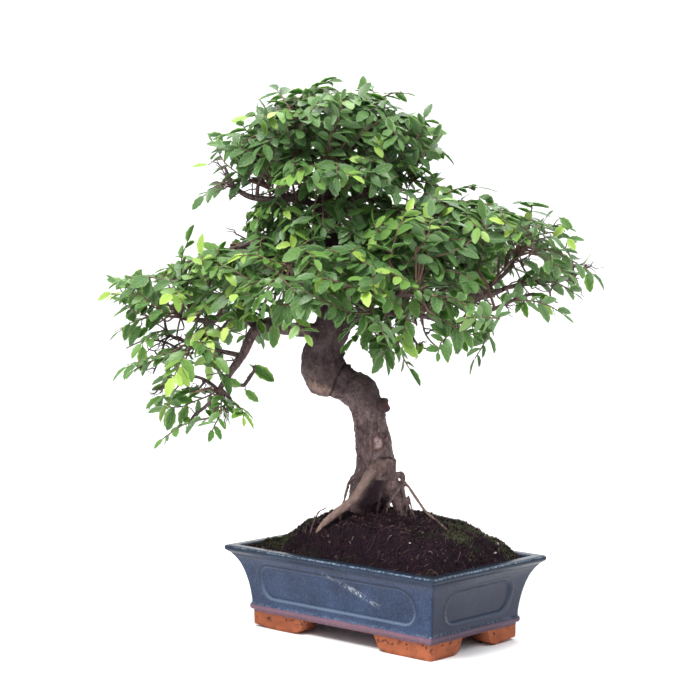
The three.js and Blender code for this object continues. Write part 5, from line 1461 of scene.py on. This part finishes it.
hold = holds[np.linalg.norm(loose_foot[:, None] - holds[None], axis=2).argmin(1)]
stalk_middle = (hold + loose_foot) / 2 + (0, 0, 1.5)
stalks = np.stack([hold, stalk_middle, loose_foot])
stalk_radius = np.broadcast_to(np.array([[0.6], [0.5], [0.35]]), stalks.shape[:2])
bare_parts.append(tubes(stalks, stalk_radius, 5))
bare_points, bare_faces = join(bare_parts)
bare = make_piece("bare_twigs", to_pot(bare_points), bare_faces)
bare.data.materials.append(bark_finish)
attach(bare, "root")
hanging = make_leaves("hanging_leaves", loose_foot, loose_direction, loose_normal, loose_length,
                      draw.uniform(0.15, 0.45, len(loose_foot)), draw.uniform(0, 0.2, len(loose_foot)),
                      loose_age)
hanging.data.materials.append(leaf_top)
hanging.data.materials.append(leaf_underside)
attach(hanging, "root")

# The floor and the light: a white sweep under soft light from the upper left.
SWEEP_REACH = 3000
sweep_profile = smooth_path([(-1500, 0), (900, 0), (1500, 0), (1900, 120), (2150, 500), (2200, 1200),
                             (2200, 3000)], 8)
# The camera stands where the photograph was taken from. Its sensor is this wide.
SENSOR = 36
level_back = unit(backward * (1, 1, 0))
sweep_points = np.concatenate([
    -sweep_profile[:, :1] * level_back + sweep_profile[:, 1:] * (0, 0, 1) + side * SWEEP_REACH * rightward
    for side in (-1, 1)]) + POT_CENTRE
sweep_count = len(sweep_profile)
near = np.arange(sweep_count - 1)
floor = make_piece("studio_floor", sweep_points, [np.column_stack(
    [near, near + sweep_count, near + sweep_count + 1, near + 1])])
floor_finish, _, shader, _ = new_material("white_floor")
shader.inputs["Base Color"].default_value = (0.93, 0.93, 0.94, 1)
shader.inputs["Roughness"].default_value = 0.9
shader.inputs["Specular IOR Level"].default_value = 0.0
floor.data.materials.append(floor_finish)

world = bpy.data.worlds.new("white_room")
bpy.context.scene.world = world
world.use_nodes = True
world.node_tree.nodes["Background"].inputs["Color"].default_value = (0.97, 0.985, 1.0, 1)
world.node_tree.nodes["Background"].inputs["Strength"].default_value = 0.80


def set_place(holder, spot, right, up, back):
    """Stands a lamp or the camera at a spot, looking against its back direction."""
    matrix = np.eye(4)
    matrix[:3, :3] = np.column_stack([right, up, back])
    matrix[:3, 3] = np.asarray(spot) * MM
    holder.matrix_world = matrix.T.tolist()
    bpy.context.view_layer.update()


def soft_light(name, side, height, near, size, watts, colour):
    """A square lamp beside the camera's line, aimed at the middle of the tree."""
    lamp = bpy.data.lights.new(name, "AREA")
    lamp.size = size * MM
    lamp.energy = watts
    lamp.color = colour
    holder = bpy.data.objects.new(name, lamp)
    bpy.context.scene.collection.objects.link(holder)
    middle = POT_CENTRE + (0, 0, 260)
    spot = middle + side * rightward + near * level_back + (0, 0, height)
    back = unit(spot - middle)
    right = unit(np.cross((0, 0, 1), back))
    set_place(holder, spot, right, np.cross(back, right), back)


soft_light("key_light", -550, 1350, 750, 700, 40, (1.0, 0.99, 0.97))
soft_light("fill_light", 850, 1300, 700, 1300, 10, (0.95, 0.97, 1.0))
soft_light("back_light", 200, 1500, -900, 1100, 20, (1.0, 1.0, 1.0))

camera = bpy.data.objects.new("camera", bpy.data.cameras.new("camera"))
camera.data.sensor_width = SENSOR
camera.data.sensor_fit = "HORIZONTAL"
camera.data.lens = VIEW_FOCUS / PICTURE_WIDTH * SENSOR
camera.data.clip_end = 20
bpy.context.scene.collection.objects.link(camera)
set_place(camera, VIEW_FROM + POT_CENTRE, rightward, upward, backward)
bpy.context.scene.camera = camera
bpy.context.scene.view_settings.view_transform = "Standard"
